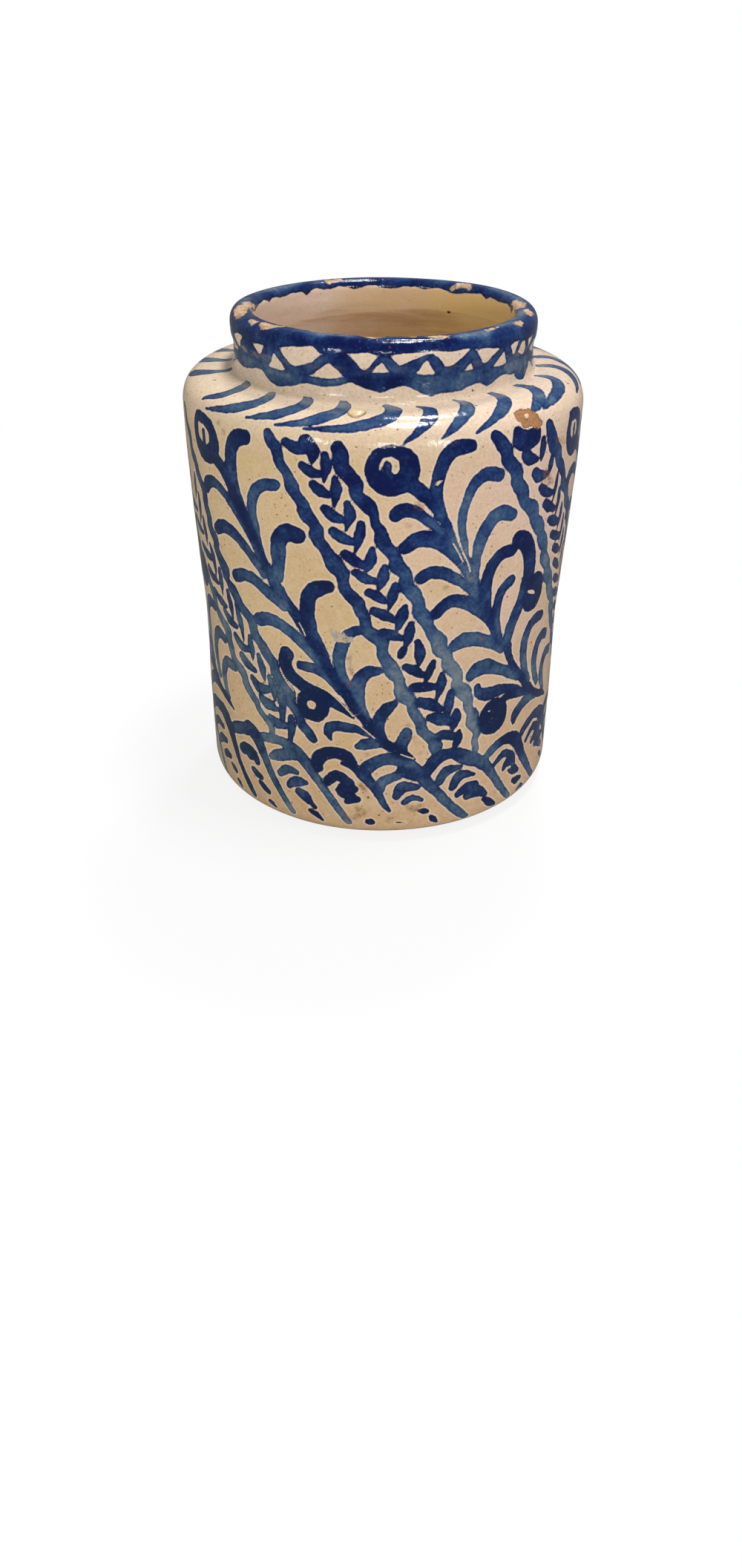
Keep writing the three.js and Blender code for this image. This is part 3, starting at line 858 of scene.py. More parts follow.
# The chains of dabs inside the bands. A dab is its cobalt, its width at start, middle and end, and
# three points. On the left of a chain the dabs lean down to the right, on its right they hang.
middle_chain = [
    (0.75, (5.5, 7.5, 6), (-25.6, 251.5), (-22.7, 249), (-19.5, 249.5)),
    (0.95, (9, 8.5, 2), (-20, 252.5), (-18, 248.5), (-18.5, 241.5)),
    (0.85, (6, 7.2, 4), (-20.8, 239.6), (-18.5, 236.6), (-15.9, 236)),
    (0.85, (6, 7.2, 4), (-18, 230), (-16.1, 226.8), (-13.9, 225.2)),
    (0.85, (6, 7.2, 4), (-15, 217), (-12.8, 213.3), (-10, 211.6)),
    (0.82, (6, 7.2, 4), (-13, 204.5), (-10.7, 201.2), (-7.4, 198.8)),
    (0.85, (6, 7.2, 4), (-9.7, 191.8), (-7.2, 188), (-4.4, 184.8)),
    (0.8, (5.5, 7, 4), (-6.9, 180.8), (-4, 177.5), (-1.4, 176)),
    (0.85, (6, 7.4, 4), (-3.3, 169), (-1.1, 167), (1.2, 163.8)),
    (0.8, (6, 7.3, 3.6), (-1.8, 157.5), (0.9, 155.3), (4, 151.4)),
    (0.85, (6.5, 7.2, 4.6), (0.9, 144), (3, 142.6), (5.9, 140.2)),
    (0.9, (5, 6, 4.5), (6.6, 133), (6.3, 130.8), (5.9, 128.5)),
    (0.9, (5.5, 7.6, 4.6), (7.4, 121), (9.7, 119), (12.5, 115.2)),
    (0.9, (6, 7, 4.5), (10, 107.5), (13.2, 107.3), (17.5, 106.3)),
    (0.88, (7, 8.5, 5), (12, 97.5), (14.7, 95.8), (18.6, 91)),
    (0.8, (5.5, 9, 5), (15.3, 86.5), (18.3, 84.8), (22, 81)),
    (0.85, (4.5, 7, 1.5), (-14.8, 247), (-14.6, 240.5), (-15.2, 232)),
    (0.85, (4, 6.8, 1.5), (-12.2, 234.5), (-11.9, 227.5), (-12.5, 218.5)),
    (0.8, (4.5, 6.8, 1.5), (-9, 221), (-8.3, 214.5), (-9.5, 205.5)),
    (0.8, (4.5, 6.8, 1.5), (-5.4, 210), (-5.8, 203.5), (-7, 192.5)),
    (0.8, (4, 7, 1.5), (-2.5, 195.5), (-2.9, 188.5), (-4.2, 181)),
    (0.8, (4, 7, 1.5), (1, 185), (0.5, 178), (-0.9, 169.5)),
    (0.82, (4.5, 7, 1.5), (3.8, 173.5), (3.3, 167.5), (2, 157.5)),
    (0.82, (4, 7.5, 1.5), (6.7, 160), (6, 154), (4.3, 144)),
    (0.82, (4.5, 7, 1.5), (8.7, 149), (8.2, 142.5), (6.8, 132.5)),
    (0.9, (4.5, 7.5, 1.5), (10.8, 137), (11.6, 129.5), (11.2, 121)),
    (0.88, (4, 6, 3), (15.7, 123), (14.8, 117.5), (13.6, 111)),
    (0.85, (4, 7, 1.5), (18.7, 114.5), (18.6, 107.5), (17, 96.5)),
    (0.82, (5, 7, 4), (21.9, 101.5), (21.3, 94.5), (20.6, 85)),
    (0.85, (4, 8, 2), (24, 88.5), (23.8, 83), (22.7, 75)),
    (0.75, (4, 7.5, 5.5), (16.2, 71.5), (19.8, 73.5), (23.5, 71)),
    (0.85, (3.5, 6.5, 3), (25.2, 74), (24.9, 69), (23.4, 61.5)),
    (0.4, (4, 4.5, 4), (18, 70), (18.8, 67), (18.3, 63)),
]
right_chain = [
    (0.9, (7, 12, 12), (38, 253.6), (38.8, 249.6), (41.5, 247.4)),
    (0.95, (12, 12, 7), (41.5, 247.4), (44, 248.8), (45, 252.4)),
    (0.85, (7, 8, 4), (41, 240), (43, 236.8), (45.9, 235.2)),
    (0.8, (7, 8, 5.5), (45.7, 228), (47.5, 224.8), (50.5, 224.3)),
    (0.82, (5.5, 6.8, 4.5), (49, 217.5), (51.5, 214), (55, 211.2)),
    (0.82, (6, 7, 4.5), (52, 206.5), (54.5, 203), (57.7, 200.3)),
    (0.8, (5.5, 7, 4), (55.5, 195), (58.7, 192), (62.8, 189)),
    (0.85, (5.5, 6.5, 4), (58.5, 184), (61.7, 181), (65.8, 177.8)),
    (0.85, (5.5, 6.5, 4), (61.3, 174), (64, 171), (66.8, 168.3)),
    (0.85, (5.5, 6.5, 4), (63.5, 163), (66.2, 160), (69, 156)),
    (0.85, (5.5, 6.5, 4), (66.3, 151), (69, 148), (72.3, 145.5)),
    (0.85, (5.5, 6.5, 4), (69.3, 139.5), (72, 136.5), (75.2, 134)),
    (0.85, (5.5, 7, 4), (72.3, 128), (75, 125), (78.3, 122)),
    (0.85, (5.5, 7, 4), (75.5, 116), (78.3, 113), (81.5, 110.5)),
    (0.85, (5.5, 7, 4), (78.5, 104.5), (81.3, 101.5), (84.5, 99)),
    (0.85, (5.5, 7, 4), (81, 93), (84, 90.5), (87, 88)),
    (0.85, (5.5, 7, 4), (84.5, 82), (87, 79.5), (90, 77.5)),
    (0.85, (5.5, 7, 4), (88, 71.5), (90.5, 69.5), (93.5, 68)),
    (0.85, (4.5, 6.5, 2), (48, 246), (48.2, 240), (47.8, 234)),
    (0.8, (4, 5.8, 2), (53, 234), (52.9, 228.5), (52.2, 224)),
    (0.8, (3, 4.6, 1.5), (57.6, 221.5), (57.2, 214), (56.2, 205.5)),
    (0.8, (3.5, 5, 1.5), (60, 211), (60.1, 204), (59.4, 195.5)),
    (0.8, (3, 4.8, 1.5), (63.5, 200), (63.4, 193), (62.2, 184.5)),
    (0.78, (3, 5, 1.5), (66.6, 191), (66.5, 184), (65.6, 175)),
    (0.85, (3.5, 5.5, 1.5), (69.2, 180), (69, 173), (68, 164.5)),
    (0.85, (3.5, 5.5, 1.5), (72, 169), (71.8, 162), (70.8, 153.5)),
    (0.85, (3.5, 6, 1.5), (74.8, 158), (74.6, 151), (73.5, 142.5)),
    (0.85, (3.5, 6, 1.5), (77.4, 147), (77.3, 140), (76.3, 131.5)),
    (0.85, (3.5, 6, 1.5), (80.4, 135.5), (80.2, 128.5), (79.2, 120)),
    (0.85, (4, 6.5, 1.5), (83.3, 124), (83.2, 117), (82, 108.5)),
    (0.85, (4, 6.5, 1.5), (86.4, 112), (86.2, 105), (85, 96.5)),
    (0.85, (4, 6.5, 1.5), (89, 100.5), (88.8, 93.5), (87.6, 85.5)),
    (0.85, (4, 6.5, 1.5), (91.5, 89), (91.3, 82.5), (90.2, 75)),
    (0.85, (4, 6, 2), (94.3, 78.5), (94.2, 73), (93.4, 66)),
]
left_chain = [
    (0.82, (5, 7, 4), (-94, 245.5), (-91, 242), (-87.5, 240)),
    (0.82, (5, 7, 4), (-90.5, 232.5), (-87.5, 229), (-84, 227)),
    (0.82, (5, 7, 4), (-86.8, 219.5), (-83.8, 216), (-80.3, 214)),
    (0.82, (5, 7, 4), (-82.5, 206), (-79.5, 202.5), (-76, 200.5)),
    (0.82, (5, 7, 4), (-78.5, 195), (-74.5, 191.5), (-70, 190)),
    (0.77, (5, 7, 4), (-73, 184), (-69.5, 179.5), (-66, 178)),
    (0.72, (5, 7, 4.5), (-68.5, 169), (-65, 166), (-61, 165)),
    (0.72, (5.5, 7, 4.5), (-64.8, 156.5), (-62, 153), (-58.5, 151.5)),
    (0.63, (5.5, 7, 4.5), (-61.5, 143.5), (-58, 140), (-54.8, 138.5)),
    (0.61, (5.5, 7, 4.5), (-55.8, 134.5), (-53, 130), (-49.8, 128.3)),
    (0.58, (5.5, 7, 4.5), (-50.7, 121.5), (-48, 117), (-44.8, 116.3)),
    (0.55, (5.5, 7, 4.5), (-48.2, 110.3), (-45.5, 106.5), (-42.2, 104.3)),
    (0.53, (5.5, 8, 6), (-43.3, 98), (-40.7, 94), (-37, 94.8)),
    (0.53, (5.5, 8, 6.5), (-39.6, 88), (-37.3, 84.8), (-33.3, 85)),
    (0.55, (5, 7.5, 5), (-36, 76.5), (-33.3, 73.8), (-29.8, 74.3)),
    (0.82, (4, 6.5, 1.5), (-88, 249), (-87.8, 242), (-88.5, 233)),
    (0.82, (4, 6.5, 1.5), (-84.5, 237), (-84.3, 230), (-85, 221)),
    (0.82, (4, 6.5, 1.5), (-80.8, 225), (-80.7, 218), (-81.5, 209)),
    (0.82, (4, 6, 1.5), (-76.8, 213.5), (-76.8, 206.5), (-77.5, 198)),
    (0.82, (4, 6, 1.5), (-68.5, 212.5), (-69, 205), (-69.8, 197)),
    (0.77, (4, 6, 1.5), (-66.5, 201.5), (-66.1, 193.5), (-67.3, 183.5)),
    (0.77, (4, 6, 1.5), (-64.3, 188.5), (-63.5, 180.5), (-63.2, 171.5)),
    (0.72, (4, 6, 1.5), (-61, 174), (-59.5, 166), (-59, 153.5)),
    (0.63, (4, 6, 1.5), (-56.2, 161.5), (-56, 153.5), (-55.9, 144.5)),
    (0.63, (4, 6, 1.5), (-52.7, 149.5), (-51.6, 141.5), (-51.2, 131.5)),
    (0.61, (4, 6, 1.5), (-48.6, 142.5), (-47.4, 133), (-46.5, 120.5)),
    (0.55, (4, 6, 1.5), (-43.6, 125.5), (-43.1, 118), (-42.8, 110.5)),
    (0.53, (4, 6.5, 1.5), (-40.2, 115.5), (-38.9, 108), (-38, 99)),
    (0.51, (4, 6.5, 2), (-36.2, 103.5), (-34.7, 96.5), (-34, 88.5)),
    (0.53, (6.5, 6.5, 4.5), (-32.6, 98), (-31.5, 88), (-31.4, 77)),
    (0.63, (5, 6.5, 4), (-28.2, 80.5), (-28, 75), (-28.6, 65.5)),
]

# The row of leaning arches at the foot, each with its long tail, then the dabs stacked inside it
arches = [
    (0.85, 1, [
        (-79.5, 46, 6), (-77, 52, 9), (-73.5, 57, 9), (-70, 60, 9), (-66.5, 60.5, 9), (-63, 60.5, 11),
        (-60, 57, 12), (-57.5, 51, 10), (-56, 45.5, 8), (-54.3, 38.5, 6.5),
    ]),
    (1, 0.6, [
        (-54.3, 38.5, 6.5), (-52.7, 32, 5.5), (-50.2, 25, 5.5), (-48, 19.5, 5.5), (-45.6, 13, 5),
    ]),
    (0.8, 0.6, [
        (-56, 53.5, 7), (-53.5, 56, 9), (-50, 58.5, 8.5), (-47.5, 60, 9), (-45.8, 62, 10.5),
    ]),
    (0.7, 0.3, [
        (-46.2, 62.5, 9), (-43.9, 60, 11), (-41.8, 55, 10), (-39.7, 47.6, 7.5), (-38, 40.6, 6.5),
        (-35.9, 32.8, 5.8), (-33.3, 25, 5.3), (-30.8, 18, 5), (-28.9, 12.5, 4.5),
    ]),
    (0.3, 0.45, [(-40.3, 60, 6), (-37.8, 61.2, 7), (-35, 62, 7), (-31.6, 62, 7.5)]),
    (0.55, 0.3, [
        (-31.6, 62, 7.5), (-29.5, 60, 10), (-26.2, 57, 9.5), (-23.6, 52, 8.5), (-21.1, 45, 7),
        (-18.6, 38, 6), (-16, 31, 5.8), (-13.5, 24, 5.3), (-11, 17, 5), (-9.6, 13, 4.5),
    ]),
    (0.35, 0.6, [(-36, 49, 6), (-34.5, 50.5, 8), (-31.5, 53, 9), (-28.5, 55.5, 9), (-25.5, 56, 8)]),
    (1, 0.95, [
        (-19, 49.5, 6), (-19.6, 53, 8), (-18.8, 57.5, 9.5), (-16.5, 61, 9), (-13, 62.3, 8.5),
        (-10, 60, 9), (-8.5, 56.5, 7),
    ]),
    (0.9, 0.6, [
        (-11.5, 55.5, 3), (-8.5, 54, 5.5), (-6.5, 51.5, 7), (-4.5, 47.5, 8.5), (-2.8, 43, 7),
        (-1, 38, 6), (0.5, 32, 5.3), (1.8, 27, 4.5), (3.2, 23, 3),
    ]),
    (0.62, 0.55, [(-5.2, 50.5, 7), (-3.5, 54, 9), (-0.5, 58.3, 8.5), (3, 60.3, 8.8), (6, 59.5, 9)]),
    (0.5, 0.42, [
        (6, 59.5, 9), (9, 56, 9), (11.5, 50.5, 9), (13.5, 46, 8.5), (15.3, 40.5, 8), (17.5, 35.5, 7),
        (20, 29.5, 6.7), (22.5, 23.5, 6.5), (25, 18, 6.3), (27.5, 13, 6), (29.5, 9, 5),
    ]),
    (0.85, 0.5, [
        (14.5, 47, 7), (15.8, 52, 9), (17.8, 57, 10), (20.5, 59.5, 8.5), (23.5, 59.5, 8),
        (26.5, 56, 10), (29.5, 52.5, 10), (32.5, 49.5, 9), (35, 45.5, 8.5), (37, 41, 7.5),
    ]),
    (0.45, 0.38, [
        (37, 41, 7.5), (39, 35.5, 6.5), (41, 29.5, 6), (43, 23.5, 6), (45.5, 17, 5.5), (48.3, 11, 4.5),
    ]),
    (0.4, 0.65, [(35, 48.5, 5), (37.5, 52.5, 7), (40.5, 56, 7), (43.5, 57.2, 7.5)]),
    (1, 0.42, [
        (43.5, 57.2, 7.5), (46.5, 56.5, 9), (49, 53, 10), (51.2, 47.5, 9), (53, 41, 8), (55, 34.5, 7),
        (57, 29.5, 6.5), (59, 24, 6), (61, 19, 5.5), (63.2, 14, 5),
    ]),
    (0.72, 0.5, [
        (51.7, 53, 5), (54, 57, 7), (57, 60, 7), (60.5, 61.5, 6.5), (63.5, 60.5, 9), (66.5, 57, 10),
        (69.5, 51.5, 10), (71.8, 45, 8.5), (73.8, 38, 7), (76, 30.5, 6.3), (78.5, 22.5, 6),
        (81.5, 14, 5),
    ]),
]
arch_dabs = [
    (0.9, (5, 8, 6), (-75, 37.5), (-70, 46.5), (-63.8, 47)),
    (0.65, (6, 8.5, 5.5), (-69.5, 31.5), (-66, 37), (-61.7, 38.5)),
    (0.8, (7, 8, 6), (-63.5, 27.5), (-61.5, 29.5), (-59.3, 29.3)),
    (0.85, (4, 6, 5), (-58.5, 24.5), (-57, 23.3), (-55.5, 21.8)),
    (0.85, (3.5, 5, 3), (-54.8, 16.5), (-53.6, 14.8), (-52.5, 12.3)),
    (0.8, (8, 10, 9), (-50.6, 43.5), (-48, 45.8), (-45.5, 45.5)),
    (0.75, (9, 10, 7), (-46.5, 42), (-44.5, 44), (-43, 39.8)),
    (0.6, (5, 8, 6), (-50.4, 41.5), (-49.5, 43), (-47.8, 43)),
    (0.8, (5.5, 7, 5.5), (-45.2, 32.5), (-43.5, 30.8), (-41.5, 29.3)),
    (0.7, (5, 7, 5), (-42, 25.3), (-40.3, 23), (-38.5, 20.8)),
    (0.8, (4, 5, 3), (-38.2, 14.3), (-37, 13.2), (-35.8, 11)),
    (0.55, (6.5, 8, 5), (-33, 38.8), (-30.5, 43.2), (-26.9, 43)),
    (0.6, (6, 9, 5), (-29.8, 32), (-27, 36.3), (-23.8, 37)),
    (0.65, (7, 10, 7), (-26.3, 29.3), (-24.4, 27.5), (-22.8, 24)),
    (0.85, (6, 5, 4), (-22.8, 24), (-21.8, 22.3), (-20.8, 20.5)),
    (0.95, (4, 5.5, 3), (-22.3, 17.2), (-20.3, 15.3), (-18.3, 11.5)),
    (0.95, (8, 9, 7), (-16.2, 41.3), (-13.3, 46.5), (-9, 42.3)),
    (0.95, (6, 10, 7), (-12.6, 36), (-10.5, 38.8), (-7.9, 37.5)),
    (0.85, (9, 10, 8), (-11.5, 34.5), (-9.8, 34), (-8.5, 32)),
    (0.95, (6, 9, 6), (-9.8, 28.5), (-8.4, 30.8), (-6.6, 30.3)),
    (0.95, (5, 6.5, 5), (-3.3, 14.6), (-2.7, 14.3), (-2.1, 14)),
    (0.45, (4, 9, 8), (0.8, 37.5), (1.3, 44), (6, 48.3)),
    (0.8, (8, 9.5, 8), (6.8, 51.5), (9, 49), (11.5, 46.5)),
    (0.65, (6, 10, 5), (5.4, 33), (7.5, 39.8), (12, 38.5)),
    (0.6, (5.5, 6, 3.5), (8, 28.3), (10.5, 31.3), (13.6, 29)),
    (0.9, (3, 5.5, 3), (12.8, 21.3), (14.3, 20.6), (15.8, 19.8)),
    (0.95, (4, 6.5, 2.5), (16.8, 16), (17.6, 13.8), (19, 10.3)),
    (0.85, (1.2, 2, 1.2), (5.5, 13.9), (7, 13.6), (8.4, 13.3)),
    (0.62, (7, 9, 4), (19, 40), (21.3, 47.3), (26.5, 48.3)),
    (0.75, (7, 9.5, 3), (23.7, 34.5), (26.3, 42.2), (31.5, 40)),
    (0.8, (6, 9, 8), (25.8, 28.5), (28.8, 32), (32, 32)),
    (0.75, (8, 11, 5), (29.5, 25.5), (32.8, 27), (36.7, 22.3)),
    (0.95, (4, 7, 3), (36, 19.2), (38.6, 14.8), (41.4, 10.3)),
    (0.7, (5, 7, 6), (39.7, 42), (43.3, 46.8), (47.3, 44)),
    (0.7, (6, 6, 5), (47.3, 44), (48.6, 40), (49.3, 35)),
    (0.75, (5, 8.5, 7), (44.3, 35.5), (46, 39.3), (48.6, 34.5)),
    (0.85, (7, 9, 4), (47.7, 32.5), (49.8, 30), (52.2, 27.5)),
    (0.95, (5, 8, 5), (49.8, 22), (51.6, 20.5), (53.9, 20.3)),
    (0.55, (4, 5, 3.5), (53, 12), (54.8, 13.5), (56.6, 11.8)),
    (0.78, (5, 7.5, 8), (56, 46.5), (60.5, 52.5), (66.5, 46.5)),
    (0.8, (6, 9.5, 8), (60.5, 41.5), (63.5, 44.3), (68.3, 39)),
    (0.7, (7, 8, 6), (64, 36.8), (67.3, 34.5), (71, 29.5)),
    (0.7, (4, 5.5, 4), (69.8, 23.5), (71.5, 21.5), (73, 19)),
]

# How the strokes repeat: the swing of the bands, the dabs' shares of their widths, then where the
# panels that are carried round the back stand, in degrees, and how they are squeezed
swing_step = 3.0
swing_reach = 0.55
swing_length = 13.5
second_swing = 0.35
second_length = 1.7
chain_share = 0.98
arch_share = 0.84
carried_top = 54.0
carried_top_turn = 114.2
carried_foot = 94.0
carried_foot_turn = 115.7
band_top = 240.0
band_drop = 142.0
left_band_top = -72.0
left_band_run = 42.9
squeeze_at_top = 0.906
squeeze_gained = 0.034
last_panel_turn = -123.7
far_row_turn = 145.0

# Parts of the row at the foot that close it at the back: from, to, and how far each is carried round
row_fillers = ((-19.6, 35.0, 238.5), (-40.5, -19.6, -54.5))


def shifted(stroke, degrees):
    """The same stroke further round the jar."""
    start_load, end_load, points = stroke
    return start_load, end_load, [(turn + degrees, up, width) for turn, up, width in points]


def dab(share, load, widths, start, middle, end):
    """A dab as a stroke of three points, at that share of its widths."""
    return load, load, [(*place, share * width) for place, width in zip((start, middle, end), widths)]


def carried_round(stroke, bands_passed):
    """The same stroke in the next panels round the back, squeezed a little so that the panels close up."""
    start_load, end_load, points = stroke
    at_top = carried_top + carried_top_turn * bands_passed
    at_foot = carried_foot + carried_foot_turn * bands_passed
    carried = []
    for turn, up, width in points:
        down = (band_top - up) / band_drop
        left_band = left_band_top + left_band_run * down
        base = at_top + (at_foot - at_top) * down
        squeeze = squeeze_at_top + squeeze_gained * down
        carried.append((base + squeeze * (turn - left_band), up, width))
    return start_load, end_load, carried


def snaking(stroke):
    """The same band with the short sideways swing that the brush was given all the way down."""
    start_load, end_load, points = stroke
    line = curved_through(points, swing_step)
    swing = swing_reach * np.sin(2 * math.pi * line[:, 1] / swing_length)
    slower = 2 * math.pi * line[:, 1] / (second_length * swing_length)
    swing += second_swing * swing_reach * np.sin(slower + 1.0)
    return start_load, end_load, [(turn + aside, up, width) for (turn, up, width), aside in zip(line, swing)]


def banded(bands, chain):
    """A pair of bands and the chain of dabs inside it."""
    return [*(snaking(band) for band in bands), *(dab(chain_share, *mark) for mark in chain)]


def wall_strokes():
    """Every stroke on the wall, all the way round."""
    middle = banded(middle_bands, middle_chain)
    right = banded(right_bands, right_chain)
    left = banded(left_bands, left_chain)
    strokes = [*ring_spray, *fruit_spray, *middle, *right, *left]
    panel = [*ring_spray, *middle, *fruit_spray, *right]
    strokes += [carried_round(stroke, 0) for stroke in panel]
    strokes += [carried_round(stroke, 1) for stroke in ring_spray]
    strokes += [shifted(stroke, last_panel_turn) for stroke in [*middle, *fruit_spray]]
    row = [*arches, *(dab(arch_share, *mark) for mark in arch_dabs)]
    strokes += row
    strokes += [shifted(stroke, far_row_turn) for stroke in row]
    for stroke in row:
        starts_at = stroke[2][0][0]
        for first, last, turn in row_fillers:
            if first <= starts_at < last:
                strokes.append(shifted(stroke, turn))
    return strokes


# What is drawn on top of the strokes: hairlines and gaps of cream, wear, stains and iron specks
hairlines = [
    [(19.5, 197), (21.5, 190), (23, 184)],
    [(25.5, 177), (24.3, 184), (22.5, 191)],
    [(-24.3, 146), (-23, 141), (-22.3, 137)],
    [(-31, 108), (-29.5, 104), (-27, 99)],
    [(-16, 104), (-13, 99), (-10.3, 93.6), (-7.8, 88)],
    [(-1.2, 73.8), (-5, 80.5), (-8.6, 86)],
    [(6.3, 63.3), (8.7, 61), (11, 59)],
    [(35.3, 82.2), (36.6, 81.5)],
]
small_gaps = [
    [(10.6, 220.3, 2.6), (12.2, 216.6, 1.9), (13.4, 213.8, 1.4)],
    [(14.3, 232, 2.2), (15.3, 233, 1.8)],
    [(-28.9, 168, 2), (-28.4, 166.8, 1.8)],
    [(48.9, 153.6, 1.4), (50.8, 152.3, 2), (52.2, 150.8, 1.4)],
    [(-33.7, 87.6, 1.8), (-33.1, 86.2, 1.8)],
    [(46.3, 34.2, 1.8), (47.6, 33.8, 1.8)],
]
worn_places = [
    [(-14.3, 142.8, 3), (-11.8, 139.8, 6.2), (-8.7, 138.7, 3.5)],
    [(-8.9, 125.4, 2), (-8.9, 120.2, 1.6)],
]
rust_stains = [
    [(50.3, 226, 4), (52, 221, 6.5), (54.5, 218, 3)],
    [(55, 242, 2), (58, 240.5, 3), (60, 238, 2)],
    [(9.3, 220.5, 3.5), (10.4, 219.5, 3.5)],
    [(6.6, 209.6, 2), (7.4, 209.2, 2)],
    [(-5.5, 41, 4), (-4.5, 39.5, 4)],
    [(3, 16.8, 2.6), (3.4, 16.5, 2.6)],
    [(-7, 24, 3), (-5, 21.5, 4), (-7.5, 17, 2.5)],
    [(8.5, 26, 2.5), (12, 22.5, 4.5), (13.5, 25, 2.5)],
    [(-12, 20, 2), (-9, 15.5, 2.5)],
]
iron_specks = [
    (-49.5, 253), (-47.2, 248.5), (18, 170), (8.6, 82.4), (9.7, 73.7), (12.3, 62.8), (-3.8, 63.2),
    (-9.2, 126.5), (-8.9, 119.5), (-8.7, 116.5), (-9.2, 110.5), (-9.3, 108.5), (30.5, 139.5),
    (31.5, 133),
]
hairline_half = 0.42
speck_width = 2.2
speck_length = 0.2

# The glaze's colours, from 0 to 255, and the cobalt's from the thinnest wash to the thickest
cream_pink = (216, 186, 165)
cream_yellow = (207, 180, 133)
# The light cream is also laid on as a painted sheen from the shoulder up, and the warm cream as a painted
# warm floor bounce low on the wall
pale_cream_and_sheen = (234, 215, 194)
painted_bounce_cream = (188, 152, 110)
cream_pale = (220, 196, 166)
cream_grain = (174, 140, 106)
honey_pale = (236, 204, 160)
honey_pink = (248, 224, 204)
honey_gold = (246, 212, 138)
cobalt_shades = [(90, 110, 128), (72, 96, 122), (48, 76, 114), (22, 46, 96), (2, 20, 70)]
cobalt_slate = (28, 44, 60)
slate_pale = (88, 106, 110)
cobalt_light = (112, 128, 146)
iron_brown = (128, 88, 56)
iron_dark = (96, 60, 38)
rust = (118, 78, 46)
worn_pale = (204, 172, 136)
worn_tan = (164, 124, 88)
worn_grey = (158, 154, 138)
worn_blue = (92, 100, 116)
scar_light = (174, 126, 82)
scar_dark = (146, 100, 62)
scar_lip = (92, 62, 42)
fringe_strength = 0.48
glaze_ior = 1.42

# Specks: their colour, spacing and size in millimetres, the share of places that have one, how far
# their pattern is moved, and their strength
brown_specks = (iron_brown, 3.0, 0.6, 0.55, 0.2, 0.85)
cream_specks = (pale_cream_and_sheen, 3.3, 0.45, 0.4, 0.7, 0.5)
cobalt_specks = (cobalt_light, 2.2, 0.5, 0.35, 0.4, 0.22)
dark_specks = (iron_dark, 8.0, 1.0, 0.6, 0.6, 0.85)
pinholes = (11.0, 0.5, 0.5, 0.85)


def flecks(tree, spacing, size, share, shift):
    """Round specks about a spacing apart, in millimetres, in that share of the places they could take."""
    place = put(tree, "ShaderNodeTexCoord").outputs["Object"]
    moved = put(tree, "ShaderNodeMapping", [("Vector", place), ("Location", (shift, -shift, shift * 0.4))])
    cells = put(tree, "ShaderNodeTexVoronoi", [("Vector", moved.outputs[0]), ("Scale", 1 / (spacing * MM))])
    parts = put(tree, "ShaderNodeSeparateColor", [("Color", cells.outputs["Color"])])
    chosen = sums(tree, "LESS_THAN", parts.outputs[0], share)
    own_size = ramp(tree, parts.outputs[1], 0.0, 1.0, 0.35 * size / spacing, size / spacing)
    spot = ramp(tree, sums(tree, "SUBTRACT", cells.outputs["Distance"], own_size), 0.0, -0.03)
    return sums(tree, "MULTIPLY", chosen, spot)


def specked(tree, colour, speck, spacing, size, share, shift, strength):
    """The colour with specks of another colour on it."""
    chosen = sums(tree, "MULTIPLY", flecks(tree, spacing, size, share, shift), strength)
    return laid_over(tree, chosen, colour, tint(speck))


def place_on_jar(tree):
    """Where a point is in metres: X across, Y away from the front and Z up."""
    place = put(tree, "ShaderNodeTexCoord").outputs["Object"]
    return put(tree, "ShaderNodeSeparateXYZ", [(0, place)]).outputs


def across_mouth(tree):
    """How far right of the middle a point is, with an uneven edge to it."""
    wander = ramp(tree, cloudy(tree, 40.0), 0.3, 0.7, -0.02, 0.02)
    return sums(tree, "ADD", place_on_jar(tree)["X"], wander)


def mouth_colour(tree):
    """The thin glaze inside the mouth: pinker on the left, more golden on the right."""
    across = across_mouth(tree)
    colour = laid_over(tree, ramp(tree, across, -0.05, 0.0), tint(honey_pink), tint(honey_pale))
    return laid_over(tree, ramp(tree, across, 0.0, 0.06, 0.0, 0.85), colour, tint(honey_gold))


def cream_colour(tree, place, lower, lumps, drift):
    """Cream glaze: yellower left, pinker right, a painted warm bounce low down, a painted sheen on top,
    honey in the mouth.
    """
    pinker = ramp(tree, place["X"], -0.05, 0.08, -0.3, 1.0)
    pinker = sums(tree, "ADD", pinker, ramp(tree, drift, 0.35, 0.65, -0.3, 0.3))
    cream = laid_over(tree, ramp(tree, pinker, 0.0, 1.0), tint(cream_yellow), tint(cream_pink))
    # Painted floor bounce: the cream turns warmer and darker towards the foot, in place of warm light
    # bounced up from the floor
    cream = laid_over(tree, ramp(tree, lower, 0.2, 0.03, 0.0, 0.75), cream, tint(painted_bounce_cream))
    # Painted sheen: from the shoulder up the cream turns paler, in place of the overhead light's broad sheen
    # there
    painted_sheen_on_top = ramp(tree, place["Z"], 0.242, 0.266, 0.0, 0.75)
    cream = laid_over(tree, painted_sheen_on_top, cream, tint(pale_cream_and_sheen))
    cream = laid_over(tree, ramp(tree, lumps, 0.3, 0.75, 0.0, 0.35), cream, tint(cream_pale))
    grain = ramp(tree, cloudy(tree, 1.5, 4.0, 0.7, 0.51), 0.42, 0.72, 0.0, 0.5)
    cream = laid_over(tree, grain, cream, tint(cream_grain))
    cream = specked(tree, cream, *brown_specks)
    cream = specked(tree, cream, *cream_specks)
    level = put(tree, "ShaderNodeCombineXYZ", [(0, place["X"]), (1, place["Y"])])
    from_axis = put(tree, "ShaderNodeVectorMath", [(0, level.outputs[0])], operation="LENGTH")
    inside = ramp(tree, from_axis.outputs["Value"], 0.083, 0.0785)
    return laid_over(tree, inside, cream, mouth_colour(tree))


